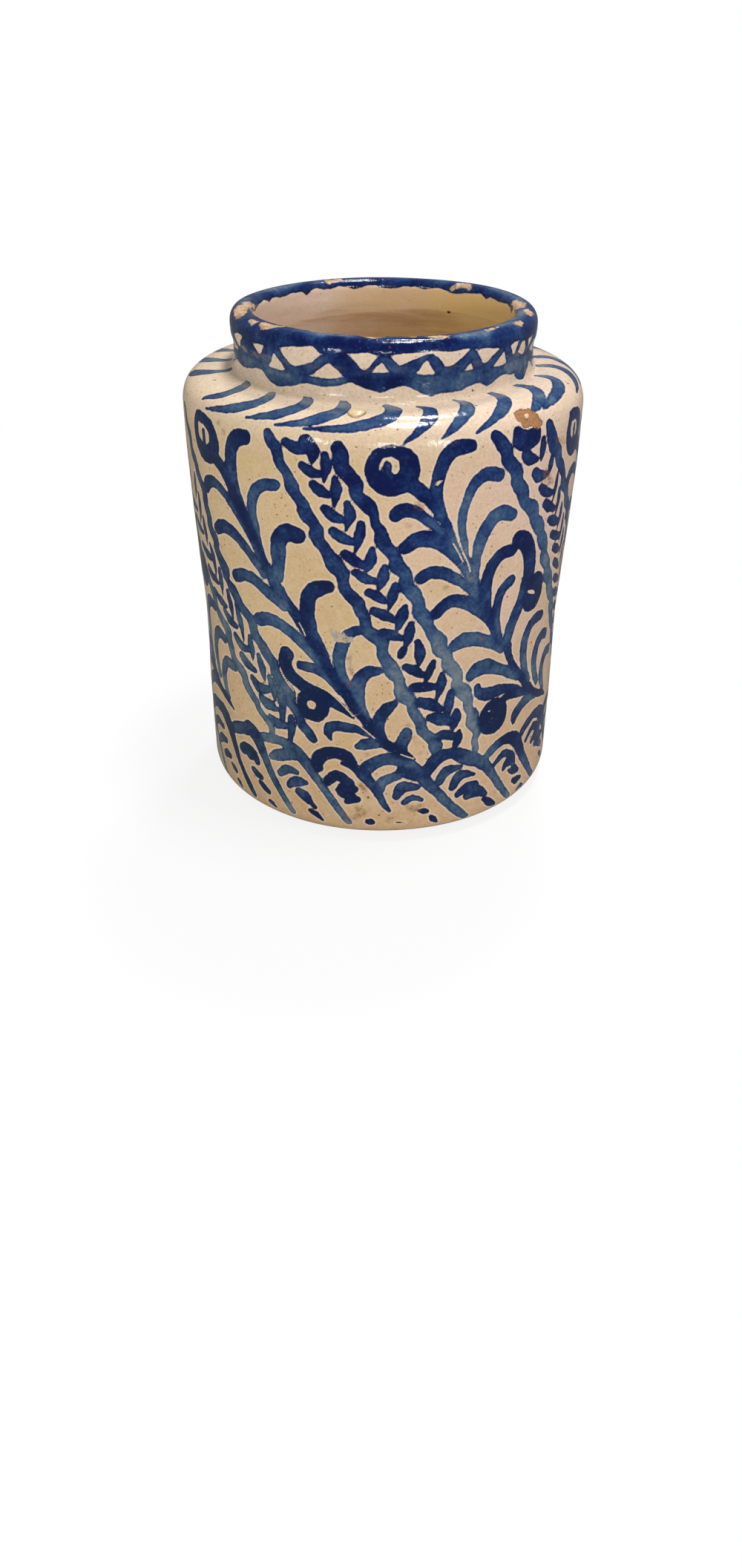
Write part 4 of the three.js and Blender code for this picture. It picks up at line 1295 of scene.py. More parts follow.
def cobalt_colour(tree, place, lower, density):
    """Cobalt from a grey wash to navy, more slaty low down and on the left."""
    shades = put(tree, "ShaderNodeValToRGB", [("Fac", density)])
    shades.color_ramp.elements[0].color = tint(cobalt_shades[0])
    shades.color_ramp.elements[1].color = tint(cobalt_shades[-1])
    for step, shade in enumerate(cobalt_shades[1:-1], 1):
        shades.color_ramp.elements.new(step / (len(cobalt_shades) - 1)).color = tint(shade)
    slaty_low = ramp(tree, lower, 0.23, 0.07, 0.0, 0.38)
    slaty_left = ramp(tree, place["X"], -0.03, -0.1, 0.0, 0.34)
    slaty = sums(tree, "ADD", slaty_low, slaty_left)
    slate = laid_over(tree, ramp(tree, density, 0.2, 0.75), tint(slate_pale), tint(cobalt_slate))
    blue = laid_over(tree, slaty, shades.outputs["Color"], slate)
    return specked(tree, blue, *cobalt_specks)


def stained(tree, colour, stain, ragged):
    """The colour with iron specks and rust stains."""
    colour = specked(tree, colour, *dark_specks)
    soaked = ramp(tree, sums(tree, "ADD", stain, ragged), 1.2, -1.0)
    blotch = ramp(tree, cloudy(tree, 2.4, 4.0, 0.7, 0.19), 0.35, 0.6)
    soaked = sums(tree, "MULTIPLY", soaked, blotch)
    return laid_over(tree, sums(tree, "MULTIPLY", soaked, 0.75), colour, tint(rust))


def rubbed_through(tree, colour, place, worn, lumps):
    """The colour where the glaze is rubbed back to the clay, and by how much it is."""
    torn = ramp(tree, cloudy(tree, 3.2, 4.0, 0.7, 0.43), 0.2, 0.8, -1.6, 1.6)
    rubbed = ramp(tree, sums(tree, "ADD", worn, torn), 0.35, -0.35)
    deep = laid_over(tree, ramp(tree, place["Z"], 0.24, 0.26), tint(worn_grey), tint(worn_tan))
    clay = laid_over(tree, ramp(tree, lumps, 0.35, 0.65), tint(worn_pale), deep)
    left_blue = ramp(tree, cloudy(tree, 1.8, 4.0, 0.7, 0.61), 0.52, 0.6, 0.0, 0.6)
    clay = laid_over(tree, left_blue, clay, tint(worn_blue))
    return laid_over(tree, rubbed, colour, clay), rubbed


def broken_bare(tree, colour, bare, fine):
    """The colour where the glaze broke off the clay, with a dark lip round it, and where it did."""
    broken = ramp(tree, cloudy(tree, 4.0, 3.0, 0.6, 0.15), 0.25, 0.75, -1.5, 1.5)
    jagged = sums(tree, "ADD", bare, broken)
    naked = ramp(tree, jagged, 0.2, -0.2)
    clay = laid_over(tree, ramp(tree, fine, 0.3, 0.7), tint(scar_light), tint(scar_dark))
    colour = laid_over(tree, naked, colour, clay)
    lip = sums(tree, "MULTIPLY", ramp(tree, jagged, 0.4, 0.15), ramp(tree, jagged, -0.55, -0.2))
    return laid_over(tree, sums(tree, "MULTIPLY", lip, 0.8), colour, tint(scar_lip)), naked


def glaze_skin(tree, fine, cobalt):
    """The height of the glaze's skin: fine lumps, slow dimples, pinholes, and cobalt that stands proud."""
    dimpled = sums(tree, "MULTIPLY", cloudy(tree, 9.0, 2.0, 0.5, 0.87), 3.2)
    skin = sums(tree, "ADD", cloudy(tree, 2.6, 2.0, 0.5, 0.29), sums(tree, "MULTIPLY", fine, 0.5))
    skin = sums(tree, "ADD", skin, dimpled)
    skin = sums(tree, "SUBTRACT", skin, sums(tree, "MULTIPLY", flecks(tree, *pinholes), 1.5))
    return sums(tree, "ADD", skin, sums(tree, "MULTIPLY", cobalt, 0.2))


def glaze_material():
    """Cream glaze over the painted cobalt, with its clouds, specks, pinholes, stains and worn places."""
    material, tree = empty_material("painted cream glaze")
    painted = {}
    for name in painted_marks:
        painted[name] = put(tree, "ShaderNodeAttribute", attribute_name=name).outputs["Fac"]
    fine = cloudy(tree, 1.5, 3.0, 0.6, 0.11)
    lumps = cloudy(tree, 5.0, 2.0, 0.5, 0.37)
    drift = cloudy(tree, 55.0, 3.0, 0.5, 0.77)
    place = place_on_jar(tree)
    lower = sums(tree, "ADD", place["Z"], ramp(tree, drift, 0.3, 0.7, -0.06, 0.06))

    ragged = ramp(tree, fine, 0.2, 0.8, -0.22, 0.22)
    ragged = sums(tree, "ADD", ragged, ramp(tree, lumps, 0.2, 0.8, -0.5, 0.5))
    reach = sums(tree, "ADD", painted["edge"], ragged)
    fringe = ramp(tree, reach, 1.2, 0.4, 0.0, fringe_strength)
    cream = laid_over(tree, fringe, cream_colour(tree, place, lower, lumps, drift), tint(pale_cream_and_sheen))

    beside = sums(tree, "ABSOLUTE", painted["slit"], 0.0)
    beside = sums(tree, "ADD", beside, ramp(tree, fine, 0.2, 0.8, -0.3, 0.3))
    uncut = ramp(tree, beside, 0.6 * hairline_half, 1.4 * hairline_half, 0.15, 1.0)
    cobalt = sums(tree, "MULTIPLY", ramp(tree, reach, 0.3, -0.3), uncut)
    pooled = ramp(tree, reach, -1.7, -0.4, 0.0, 0.2)
    cloud = ramp(tree, cloudy(tree, 11.0, 4.0, 0.6, 0.93), 0.25, 0.75, -0.28, 0.28)
    streak = ramp(tree, cloudy(tree, 2.2, 3.0, 0.65, 0.71), 0.25, 0.75, -0.16, 0.16)
    density = sums(tree, "ADD", sums(tree, "ADD", painted["load"], cloud), sums(tree, "ADD", pooled, streak))
    cover = sums(tree, "MULTIPLY", cobalt, ramp(tree, density, 0.0, 0.4, 0.88, 1.0))
    colour = laid_over(tree, cover, cream, cobalt_colour(tree, place, lower, density))

    colour = stained(tree, colour, painted["stain"], ragged)
    colour, rubbed = rubbed_through(tree, colour, place, painted["worn"], lumps)
    colour, naked = broken_bare(tree, colour, painted["bare"], fine)
    dull = sums(tree, "MAXIMUM", rubbed, naked)
    gloss = ramp(tree, cloudy(tree, 14.0, 3.0, 0.6, 0.67), 0.3, 0.7, 0.1, 0.2)
    gloss = sums(tree, "SUBTRACT", gloss, sums(tree, "MULTIPLY", cobalt, 0.03))
    roughness = sums(tree, "MAXIMUM", gloss, ramp(tree, dull, 0.0, 1.0, 0.0, 0.7))
    surface = surfaced(tree, colour, glaze_skin(tree, fine, cobalt), 0.4, 0.3, roughness)
    surface.inputs["IOR"].default_value = glaze_ior
    return material


def mark_wall(coat):
    """Paints the wall's strokes on a stretch of coat, then its fine gaps, worn places and stains."""
    for stroke in wall_strokes():
        coat.brush(*stroke)
    coat.soften()
    for line in hairlines:
        coat.scratch(line)
    for gap in small_gaps:
        coat.gap_in(gap)
    for place in worn_places:
        coat.patch("worn", place)
    for stain in rust_stains:
        coat.patch("stain", stain)
    for turn, up in iron_specks:
        coat.patch("stain", [(turn, up, speck_width), (turn + speck_length, up, speck_width)])


def dressed(coat, strips):
    """Gives a finished stretch of coat its glaze, and its place in the frame."""
    coat.finish(strips)
    smoothed(coat.piece)
    coat.piece.data.materials.append(painted_glaze)
    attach(coat.piece, "root")
    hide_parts("outer_glaze")


def nearest_row(up):
    """The place up the outside, among those that carry points, that is nearest to this one."""
    return outside_up[np.abs(outside_up - up).argmin()]


painted_glaze = glaze_material()
glaze_low_row = nearest_row(np.interp(bare_height, outside[:foot_rows, 1], outside_up[:foot_rows]))
seam_row = nearest_row(wall_seam)
shoulder_row = nearest_row(wall_curve[-1][1])
shoulder_top_row = nearest_row(shoulder_end)
neck_top_row = nearest_row(neck_end)
wall_lower = coat_piece("wall_glaze_lower", glaze_low_row, seam_row)
wall_upper = coat_piece("wall_glaze_upper", seam_row, shoulder_row)
for stretch in (wall_lower, wall_upper):
    mark_wall(stretch)
    stretch.push_in(unevenness(stretch))
    dressed(stretch, strips=2)

# Painted glaze on the shoulder: the same coat, with commas brushed round it, each from the neck down
# to a thin tail. The kiln scar on its right is where another pot stuck: bare clay, sunk a little.
commas = [
    (0.22, 0.62, [
        (-41, 286, 4), (-38.8, 279, 7.5), (-39.2, 271.5, 8.5), (-44, 264.5, 7.5), (-50, 260.3, 4.5),
        (-57, 257.3, 1.5),
    ]),
    (0.22, 0.62, [
        (-27.5, 290, 4), (-25.3, 283, 7.5), (-25.2, 275, 9), (-29, 267.5, 8), (-34, 263, 5),
        (-39.5, 260, 1.5),
    ]),
    (0.22, 0.62, [
        (-13.7, 289, 4), (-12.2, 282, 7.5), (-12.8, 274, 9), (-17, 267.5, 8.5), (-22.5, 262.5, 5),
        (-29.5, 259.3, 1.5),
    ]),
    (0.35, 0.68, [
        (1.5, 284, 6), (3.3, 278.5, 9), (1.5, 270.5, 9.5), (-4, 265, 7.5), (-11, 261.5, 5),
        (-21, 259.5, 1.5),
    ]),
    (0.5, 0.7, [
        (11.5, 281.5, 3.5), (14, 277.5, 6.5), (13.6, 271, 8.5), (11.3, 264.5, 7), (8.5, 259, 4),
        (5.5, 254.5, 1.5),
    ]),
    (0.22, 0.62, [
        (25, 287.5, 3), (26.8, 281.5, 6.5), (25.8, 274.5, 8.5), (22.5, 267.5, 7.5), (18.5, 260.5, 4.5),
        (15.3, 255.8, 1.5),
    ]),
    (0.22, 0.62, [
        (39.8, 291, 3), (41.5, 284.5, 6.5), (40.3, 276.5, 8.5), (36, 269, 7.5), (30.5, 262.5, 4.5),
        (25, 257, 1.5),
    ]),
    (0.25, 0.62, [
        (54.5, 290, 3), (56.8, 284, 6.5), (56, 276, 8.5), (52, 269, 8), (48, 265, 6), (45, 262.5, 2),
    ]),
    (0.25, 0.62, [
        (71.5, 286, 3), (72.5, 280.5, 6.5), (71, 274.5, 8), (66.5, 269.8, 8.5), (61, 267, 7.5),
        (56, 265, 6), (50, 262.3, 2),
    ]),
]

# Each row of commas: its first, one past its last, and how many degrees it is carried round
comma_rows = ((0, 9, 0.0), (1, 9, 112.5), (1, 8, 227.0))
last_comma = (0.22, 0.62, [
    (-58, 289, 3), (-54.5, 284, 6.5), (-52.7, 277, 8), (-54, 269, 6.5), (-61, 261, 2),
])
kiln_scar = [(40, 261.8, 6.5), (42, 260.3, 11), (44.6, 258.2, 9), (46.2, 256.3, 6)]
scar_depth = 0.6
scar_slope = 1.6


def scar_hollow(coat):
    """How deep the kiln scar is sunk, growing from its edge inward."""
    return scar_depth * np.clip(-coat.bare / scar_slope, 0.0, 1.0)


shoulder = coat_piece("shoulder_glaze", shoulder_row, shoulder_top_row)
mark_wall(shoulder)
for first, last, turn in comma_rows:
    for comma in commas[first:last]:
        shoulder.brush(*shifted(comma, turn))
shoulder.brush(*last_comma)
shoulder.soften()
shoulder.patch("bare", kiln_scar)
shoulder.push_in(unevenness(shoulder) + scar_hollow(shoulder))
dressed(shoulder, strips=4)

# Painted glaze on the neck: a broad belt of cobalt that reaches down to the neck's foot in hand
# drawn scallops, and is laid twice in places, so that it runs from washed grey blue to navy.
belt_foot = [
    (-60, 296.6), (-55, 298), (-50, 298.8), (-46.5, 295.5), (-43.5, 293.2), (-40, 292.6),
    (-33.7, 294.6), (-28, 297), (-22, 296.3), (-17, 297), (-14, 298.5), (-10, 300.2), (-7.3, 297.7),
    (-4.3, 296), (-1, 295.2), (2, 296.6), (4.5, 298.7), (6.8, 299), (10.3, 296.6), (13, 294.6),
    (16.7, 292.3), (20, 293.3), (28, 293.5), (32, 295.3), (37, 296), (40, 293.5), (44, 295.5),
    (48.5, 297.5), (54, 296),
]
belt_top = [
    (-60, 305), (-50, 305.5), (-45, 302.2), (-38, 301.8), (-32, 303), (-25, 301), (-15, 302),
    (-9, 305), (-3.5, 305.8), (0.5, 305.8), (6, 307), (12, 304.8), (18.5, 304), (24, 305), (30.5, 304),
    (33.5, 304.2), (39, 305.5), (44, 303), (50, 303.6), (55, 305.5),
]
belt_load = 0.5
navy_stretch = [
    (-17.3, 314.5, 6), (-13.8, 309.5, 9.5), (-10, 304.5, 9.5), (-5, 301, 9), (2, 301, 8),
    (9, 301.5, 5),
]
navy_load = 0.92
belt_drip = [(57.5, 303, 9), (60.5, 298, 14), (62, 295.2, 10), (67, 298.5, 9)]
neck_washed = [
    [(-64, 299, 9), (-50, 301, 8), (-38, 300, 7)],
    [(52, 301, 8), (60, 300, 8), (68, 300, 6)],
    [(170, 300, 8), (190, 301, 8)],
]
washed_load = 0.3
zigzag = [
    (-74, 314, 5.5), (-68, 304.5, 6), (-64, 304.5, 7.5), (-61, 310.5, 7.5), (-58, 308.5, 12),
    (-55.3, 311, 7.5), (-51, 304.5, 7.5), (-48, 304.5, 8), (-44.5, 311.5, 8), (-42, 314.5, 6.5),
    (-39.8, 312, 5.5), (-35.2, 303.5, 6), (-31.5, 302.5, 6.5), (-28.7, 303.8, 7), (-25, 306.8, 6),
    (-21.5, 311, 5.5), (-19, 313.5, 6), (-17.5, 314.5, 9), (-13, 309.5, 11.5), (-9, 304, 10),
    (-5.5, 305.8, 4), (-2.8, 311, 3.2), (-0.5, 314, 4), (1, 313.5, 5.5), (2.9, 310, 6.5),
    (5, 306.5, 7), (7.8, 306.8, 8.5), (10.3, 309.3, 8), (12.8, 312.4, 4.2), (14.5, 314.4, 2.8),
    (16.6, 314, 5), (18.7, 310, 6.4), (21, 305.5, 6.5), (25, 305, 8), (28.4, 308, 8.5), (30.8, 312, 6),
    (32, 314, 5.5), (34.2, 309.5, 6.5), (36.3, 304.8, 6.5), (39.7, 304, 6.5), (42.8, 308, 7),
    (46, 312.5, 4.6), (47.8, 314.3, 4.6), (50.3, 310, 6.2), (53, 305, 5.8), (55, 305.5, 4.4),
    (58, 314, 4), (61.5, 316, 4), (64.5, 310, 5), (65, 303, 5),
]
zigzag_load = 0.66
navy_turns = (0.0, 120.0, 240.0)
back_start = 66.0
back_end = 286.0
back_strokes = 25
back_heights = (303.5, 314.0)
back_width = 6.0
back_wander = 1.2
wander_seed = 5
neck_unevenness = 0.5


def back_zigzag():
    """The zigzag round the half of the neck that the photograph does not show."""
    line = []
    wander = np.random.default_rng(wander_seed).uniform(-1, 1, (back_strokes + 1, 3))
    for step, (shift, lift, width) in enumerate(wander):
        turn = back_start + (back_end - back_start) * step / back_strokes + back_wander * shift
        line.append((turn, back_heights[step % 2] + lift, back_width + width))
    return line


def mark_neck(coat):
    """Paints the belt and the zigzag above it on a stretch of coat."""
    coat.belt(belt_load, belt_foot, belt_top)
    for line in (zigzag, back_zigzag()):
        coat.brush(zigzag_load, zigzag_load, line)
    for turn in navy_turns:
        coat.brush(*shifted((navy_load, navy_load, navy_stretch), turn))
    coat.brush(zigzag_load, zigzag_load, belt_drip)
    for place in neck_washed:
        coat.thin(washed_load, place)


neck = coat_piece("neck_glaze", shoulder_top_row, neck_top_row)
mark_neck(neck)
neck.soften()
neck.push_in(neck_unevenness * unevenness(neck))
dressed(neck, strips=6)

# Painted glaze on the rim, over the thick rolled lip that one thrown coil makes: a zigzag climbs from
# the neck's belt to a navy belt over the crown, which use has rubbed back to tan in places. This
# piece is the whole roll, clay and glaze, closed flat across underneath.
rim_belt_foot = [
    (-60, 313.5), (-54, 313.2), (-47, 313.8), (-43, 312.8), (-38.5, 315), (-30, 317), (-25, 318),
    (-21.5, 314.3), (-17.5, 314.6), (-12.5, 316), (-5, 317), (0, 315), (4, 316.3), (10, 317),
    (17.5, 317.2), (24, 316.4), (30, 317), (33, 316.2), (38, 315.5), (44, 314.2), (49, 313), (55, 315),
]
rim_belt_top = [
    (-60, 338), (-55, 336.5), (-51, 337), (-46, 338.7), (-43, 337), (-38, 336.2), (-34, 337.6),
    (-30, 337), (-25, 336.2), (-21, 339.8), (-19, 337.5), (-12, 336.5), (-6, 337.6), (2, 336.5),
    (5, 338.4), (9, 336.2), (17, 337.2), (25, 338.8), (33, 336.5), (41, 337.6), (48, 336.5),
    (55, 338.2),
]
rim_belt_load = 0.78
rim_worn = [
    [(-88, 332, 4), (-82, 328, 8), (-76, 326.5, 9), (-70, 324.5, 6)],
    [(-59.5, 325.5, 3), (-56.5, 324.6, 4.5)],
    [(-52.5, 327.5, 3), (-49.5, 325.5, 7), (-46, 326.5, 5), (-43, 330, 3)],
    [(-6.5, 331.3, 5), (-3.5, 330, 7.5), (-0.7, 331, 4.5)],
    [(9, 331.2, 2.5), (12, 330.8, 3)],
    [(17.3, 329, 3.5), (20, 327.6, 6), (23.5, 327, 4)],
    [(41.5, 326.5, 2.5), (45, 327, 3.5), (48, 327, 2)],
    [(58, 325, 3), (60.5, 324, 5), (62.5, 324.5, 3)],
    [(-30, 332.5, 2), (-25, 332, 3.5), (-21, 332.8, 2)],
    [(75, 325, 3), (79, 326, 6), (82, 328, 3)],
    [(88, 331, 5), (94, 332, 9), (100, 333, 5)],
    [(-96, 336, 3), (-90, 332, 6.5), (-84, 334, 4)],
    [(137, 334, 3), (141, 331, 6), (146, 336, 3)],
    [(200, 330, 4), (206, 331, 5.5)],
]
rim_washed = [
    [(50, 329, 5), (58, 328, 6)],
    [(-34, 329.5, 5), (-22, 328.5, 7), (-12, 329, 5)],
    [(-100, 329, 5), (-90, 330, 8), (-80, 329, 5)],
    [(62, 331, 5), (76, 330, 8), (88, 331, 5)],
    [(96, 329, 5), (112, 328, 8), (126, 329, 4)],
    [(-140, 328, 6), (-126, 329, 8), (-112, 328, 5)],
]
rim_olive = [(27.5, 325.5, 4), (33, 324.8, 7), (40, 325, 6), (43, 326, 3)]
olive_load = 0.15
rim_lines = [
    [(-30, 320, 2), (-18, 319.5, 4), (2, 319, 4.5), (22, 320, 4), (35, 320.5, 2)],
    [(-21, 325, 2), (-12, 324, 5), (4, 323.5, 6.5), (17, 323.5, 5), (26, 323, 2)],
]
rim_line_turns = (0.0, 130.0, 235.0)
rim_warp = 0.8
chip_depth = 0.5
chip_slope = 1.5
rim_unevenness_growth = 6.0


def rim_dip(coat):
    """How far the rim dips below level round the mouth, as it warped in the kiln."""
    twice_round = np.sin(np.radians(2 * coat.round + 40))
    five_times_round = np.sin(np.radians(5 * coat.round))
    return rim_warp * (0.5 + 0.35 * twice_round + 0.15 * five_times_round)


rim = coat_piece("rim_glaze", neck_top_row, outside_up[-1], hollow=False)
mark_neck(rim)
rim.belt(rim_belt_load, rim_belt_foot, rim_belt_top)
for place in rim_washed:
    rim.thin(washed_load, place)
rim.thin(olive_load, rim_olive)
for turn in rim_line_turns:
    for line in rim_lines:
        rim.brush(*shifted((1.0, 1.0, line), turn))
rim.soften()
for place in rim_worn:
    rim.patch("worn", place)
chips = chip_depth * np.clip(-rim.worn / chip_slope, 0.0, 1.0)
raised = np.clip((rim.places[:, 2] - neck_curve[-1][1]) / (rim_top - neck_curve[-1][1]), 0.0, 1.0)
rim.push_in((unevenness(rim) + chips) * np.minimum(1.0, raised * rim_unevenness_growth))
rim.places[:, 2] -= rim_dip(rim) * raised
dressed(rim, strips=6)
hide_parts("outer_glaze", "rim_roll")

# Glaze inside: a thin honey glaze swilled round the whole inside and tipped out, pinker and paler
# near the mouth, with the throwing rings and iron specks of the clay showing through it.
inside_columns = 288
inside_step = 2.0
neck_inside = [(76.9, 283.5), (76.9, 276.0), (77.0, 262.0)]
neck_bend = 5.0
crown_inside_end = (77.0, 256.5)
wall_inside_top = (108.5, 246.0)
wall_inside_foot = (101.3, 24.0)
floor_inside = 11.0
floor_bend = 13.0
bend_points = 7
crown_steps = 24
floor_bend_points = 9
honey_low = (226, 180, 104)
honey_deep = (184, 132, 66)
honey_speck = (84, 54, 34)
honey_specks = (13.0, 1.6, 0.6, 0.3)
back_point_rows = 40
inside_ring = 2.3
inside_ring_depth = 0.25
wall_rings = (26.0, 244.0)
floor_ring = 2.6
floor_rings_end = 86.0


def inside_face():
    """The inside from the lip down to the middle of the floor."""
    neck_line = np.array(neck_inside)
    turn = np.linspace(0.0, math.pi / 2, bend_points)[1:]
    bend = np.stack([
        crown_inside_end[0] + neck_bend * (1 - np.cos(turn)),
        crown_inside_end[1] + neck_bend * (1 - np.sin(turn)),
    ], axis=1)
    start = (crown_inside_end[0] + neck_bend, crown_inside_end[1])
    crown = turned_corner(start, wall_inside_top, shoulder_squareness, crown_steps)
    corner_turn = np.linspace(0.0, math.pi / 2, floor_bend_points)
    corner = np.stack([
        wall_inside_foot[0] - floor_bend * (1 - np.cos(corner_turn)),
        floor_inside + floor_bend * (1 - np.sin(corner_turn)),
    ], axis=1)
    line = np.concatenate([neck_line, bend, crown[1:], corner, [(0.0, floor_inside)]])
    return evenly(line, inside_step)[0]


def honey_material():
    """Transparent honey glaze over clay, as the colour and gloss that it shows."""
    material, tree = empty_material("honey glaze")
    place = place_on_jar(tree)
    drift = ramp(tree, cloudy(tree, 45.0, 3.0), 0.3, 0.7, -0.015, 0.015)
    drift = sums(tree, "ADD", place["Z"], drift)
    drift = sums(tree, "ADD", drift, ramp(tree, place["X"], -0.07, 0.07, 0.02, -0.01))
    rings = cloudy(tree, 60.0, 4.0, 0.6, 0.2, 12.0)
    across = across_mouth(tree)
    colour = laid_over(tree, ramp(tree, rings, 0.35, 0.65), tint(honey_low), tint(honey_deep))
    colour = laid_over(tree, ramp(tree, across, 0.0, 0.05, 0.0, 0.85), colour, tint(honey_gold))
    colour = laid_over(tree, ramp(tree, across, -0.02, -0.06, 0.0, 0.45), colour, tint(honey_pink))
    upper = laid_over(tree, ramp(tree, rings, 0.5, 0.66, 0.0, 0.45), mouth_colour(tree), tint(honey_deep))
    colour = laid_over(tree, ramp(tree, drift, 0.225, 0.272), colour, upper)
    grit = ramp(tree, cloudy(tree, 1.0, 4.0, 0.7), 0.4, 0.7, 0.0, 0.3)
    colour = laid_over(tree, grit, colour, tint(clay_grit))
    colour = laid_over(tree, flecks(tree, *honey_specks), colour, tint(honey_speck))
    skin = sums(tree, "ADD", cloudy(tree, 3.0, 2.0), sums(tree, "MULTIPLY", rings, 2.0))
    surfaced(tree, colour, skin, 0.3, 0.4, ramp(tree, cloudy(tree, 18.0, 3.0), 0.3, 0.7, 0.25, 0.42))
    return material


def with_rings(spots, shown):
    """The inside's points in millimetres, with the throwing rings of the wall and the floor in its face."""
    turn = np.arctan2(spots[:, 0], -spots[:, 1])
    reach = np.hypot(spots[:, 0], spots[:, 1])
    height = spots[:, 2]
    rings = np.sin(height / inside_ring + 1.2 * np.sin(turn) + 0.8 * np.sin(height / 17.0))
    on_wall = shown * np.clip((height - wall_rings[0]) / 8.0, 0.0, 1.0)
    on_wall = on_wall * np.clip((wall_rings[1] - height) / 6.0, 0.0, 1.0)
    on_floor = shown * (height < floor_inside + 0.5)
    on_floor = on_floor * np.clip(reach / 8.0, 0.0, 1.0) * (reach < floor_rings_end)
    shrink = 1 - inside_ring_depth * (1 + rings) * on_wall / np.maximum(reach, 1.0)
    raised = height + on_floor * inside_ring_depth * (1 + np.sin(reach / floor_ring + turn))
    return np.stack([spots[:, 0] * shrink, spots[:, 1] * shrink, raised], axis=1)


inner_face = inside_face()
inner_lean = lean_of(inner_face)
back_rows = np.unique(np.linspace(0, len(inner_face) - 1, back_point_rows).astype(int))[::-1]
inner_back = inner_face + coat_thickness * np.stack([-inner_lean[:, 1], inner_lean[:, 0]], axis=1)
inner_back[-1] = (0.0, floor_inside - coat_thickness)
inner_back[0] = (inner_face[0, 0] + coat_thickness, inner_face[0, 1])
inner_loop = np.concatenate([inner_back[back_rows], inner_face])
inner_marks = np.concatenate([np.zeros(len(back_rows)), np.ones(len(inner_face))])
inside_glaze = spun("inside_glaze", inner_loop, inner_marks, inside_columns, closed=False)
inner = inside_glaze.data
inner_spots = np.empty(len(inner.vertices) * 3)
inner.vertices.foreach_get("co", inner_spots)
inner_shown = np.empty(len(inner.vertices))
inner.attributes["along"].data.foreach_get("value", inner_shown)
inner_spots = with_rings(inner_spots.reshape(-1, 3) / MM, inner_shown)
inner.vertices.foreach_set("co", (inner_spots * MM).ravel())
inner.attributes.remove(inner.attributes["along"])
inner.update()
smoothed(inside_glaze)
inner.materials.append(honey_material())
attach(inside_glaze, "root")
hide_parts("inner_glaze")

# Drops of pale glaze: one that fell on the shoulder left of the middle, and a bead left standing in
# the kiln scar. Both are thick, domed and glossy, and melted fast to what they fell on.
drop_place = (-7.5, 273.6)
drop_size = (9.6, 9.0, 1.7)
bead_place = (42.3, 261.0)
bead_size = (3.4, 3.2, 1.2)
drop_columns = 72
dome_steps = 24
dome_squareness = 2.4
dome_root = -0.3
drop_crease = 60.0
drop_cream = (232, 208, 168)
drop_tan = (214, 184, 138)
drop_edge = (120, 98, 82)
burst_brown = (140, 96, 58)


def on_jar(turn, up, above):
    """The point at that turn and height up the outside, and so far above the true surface, in metres."""
    radius = np.interp(up, outside_up, outside[:, 0])
    height = np.interp(up, outside_up, outside[:, 1])
    rise = np.interp(up + 0.5, outside_up, outside[:, 1]) - np.interp(up - 0.5, outside_up, outside[:, 1])
    spread = np.interp(up + 0.5, outside_up, outside[:, 0]) - np.interp(up - 0.5, outside_up, outside[:, 0])
    size = math.hypot(rise, spread)
    radius += above * rise / size
    height -= above * spread / size
    angle = math.radians(turn)
    return (radius * math.sin(angle) * MM, -radius * math.cos(angle) * MM, height * MM)


def pale_material():
    """Thick pale glaze, darker round its rim, with a burst brown pinhole."""
    material, tree = empty_material("pale glaze")
    out = put(tree, "ShaderNodeAttribute", attribute_name="out").outputs["Fac"]
    mottle = ramp(tree, cloudy(tree, 1.6, 3.0), 0.3, 0.7)
    colour = laid_over(tree, mottle, tint(drop_cream), tint(drop_tan))
    ragged = sums(tree, "ADD", out, ramp(tree, cloudy(tree, 1.2, 2.0), 0.3, 0.7, -0.05, 0.05))
    colour = laid_over(tree, ramp(tree, ragged, 0.8, 0.98, 0.0, 0.65), colour, tint(drop_edge))
    burst = ramp(tree, cloudy(tree, 1.1, 1.0, 0.5, 0.6), 0.66, 0.72)
    colour = laid_over(tree, burst, colour, tint(burst_brown))
    surfaced(tree, colour, cloudy(tree, 1.4, 2.0), 0.2, 0.2, ramp(tree, mottle, 0.0, 1.0, 0.12, 0.2))
    return material


def melted(name, node, place, size, sunk, waver, material):
    """A domed drop of glaze, melted on to the jar so that its edge stands in the coat."""
    outline = []
    marks = []
    for step in range(dome_steps + 1):
        share = step / dome_steps
        outline.append((share * 0.5, math.sqrt(max(0.0, 1 - share**dome_squareness))))
        marks.append(share)
    outline += [(0.5, dome_root), (0.0, dome_root)]
    marks += [1.0, 1.0]
    piece = spun(name, np.array(outline) / MM, marks, drop_columns, closed=False)
    mesh = piece.data
    along = [value.value for value in mesh.attributes["along"].data]
    mesh.attributes.remove(mesh.attributes["along"])
    out = mesh.attributes.new("out", "FLOAT", "POINT")
    for vertex, share in zip(mesh.vertices, along):
        out.data[vertex.index].value = share
        across, upward, dome = vertex.co
        angle = math.atan2(upward, across)
        swell = 1 + waver * math.sin(2 * angle + 0.7) + 0.6 * waver * math.sin(3 * angle)
        radius = np.interp(place[1], outside_up, outside[:, 0])
        turn = place[0] + math.degrees(across * size[0] * swell / radius)
        vertex.co = on_jar(turn, place[1] + upward * size[1] * swell, dome * size[2] - sunk)
    smoothed(piece, drop_crease)
    mesh.materials.append(material)
    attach(piece, "root")
    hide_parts(node)


pale_glaze = pale_material()
melted("glaze_drop_shaped", "glaze_drop", drop_place, drop_size, sunk=0.15, waver=0.05, material=pale_glaze)
melted("scar_bead_shaped", "scar_bead", bead_place, bead_size, sunk=0.65, waver=0.12, material=pale_glaze)

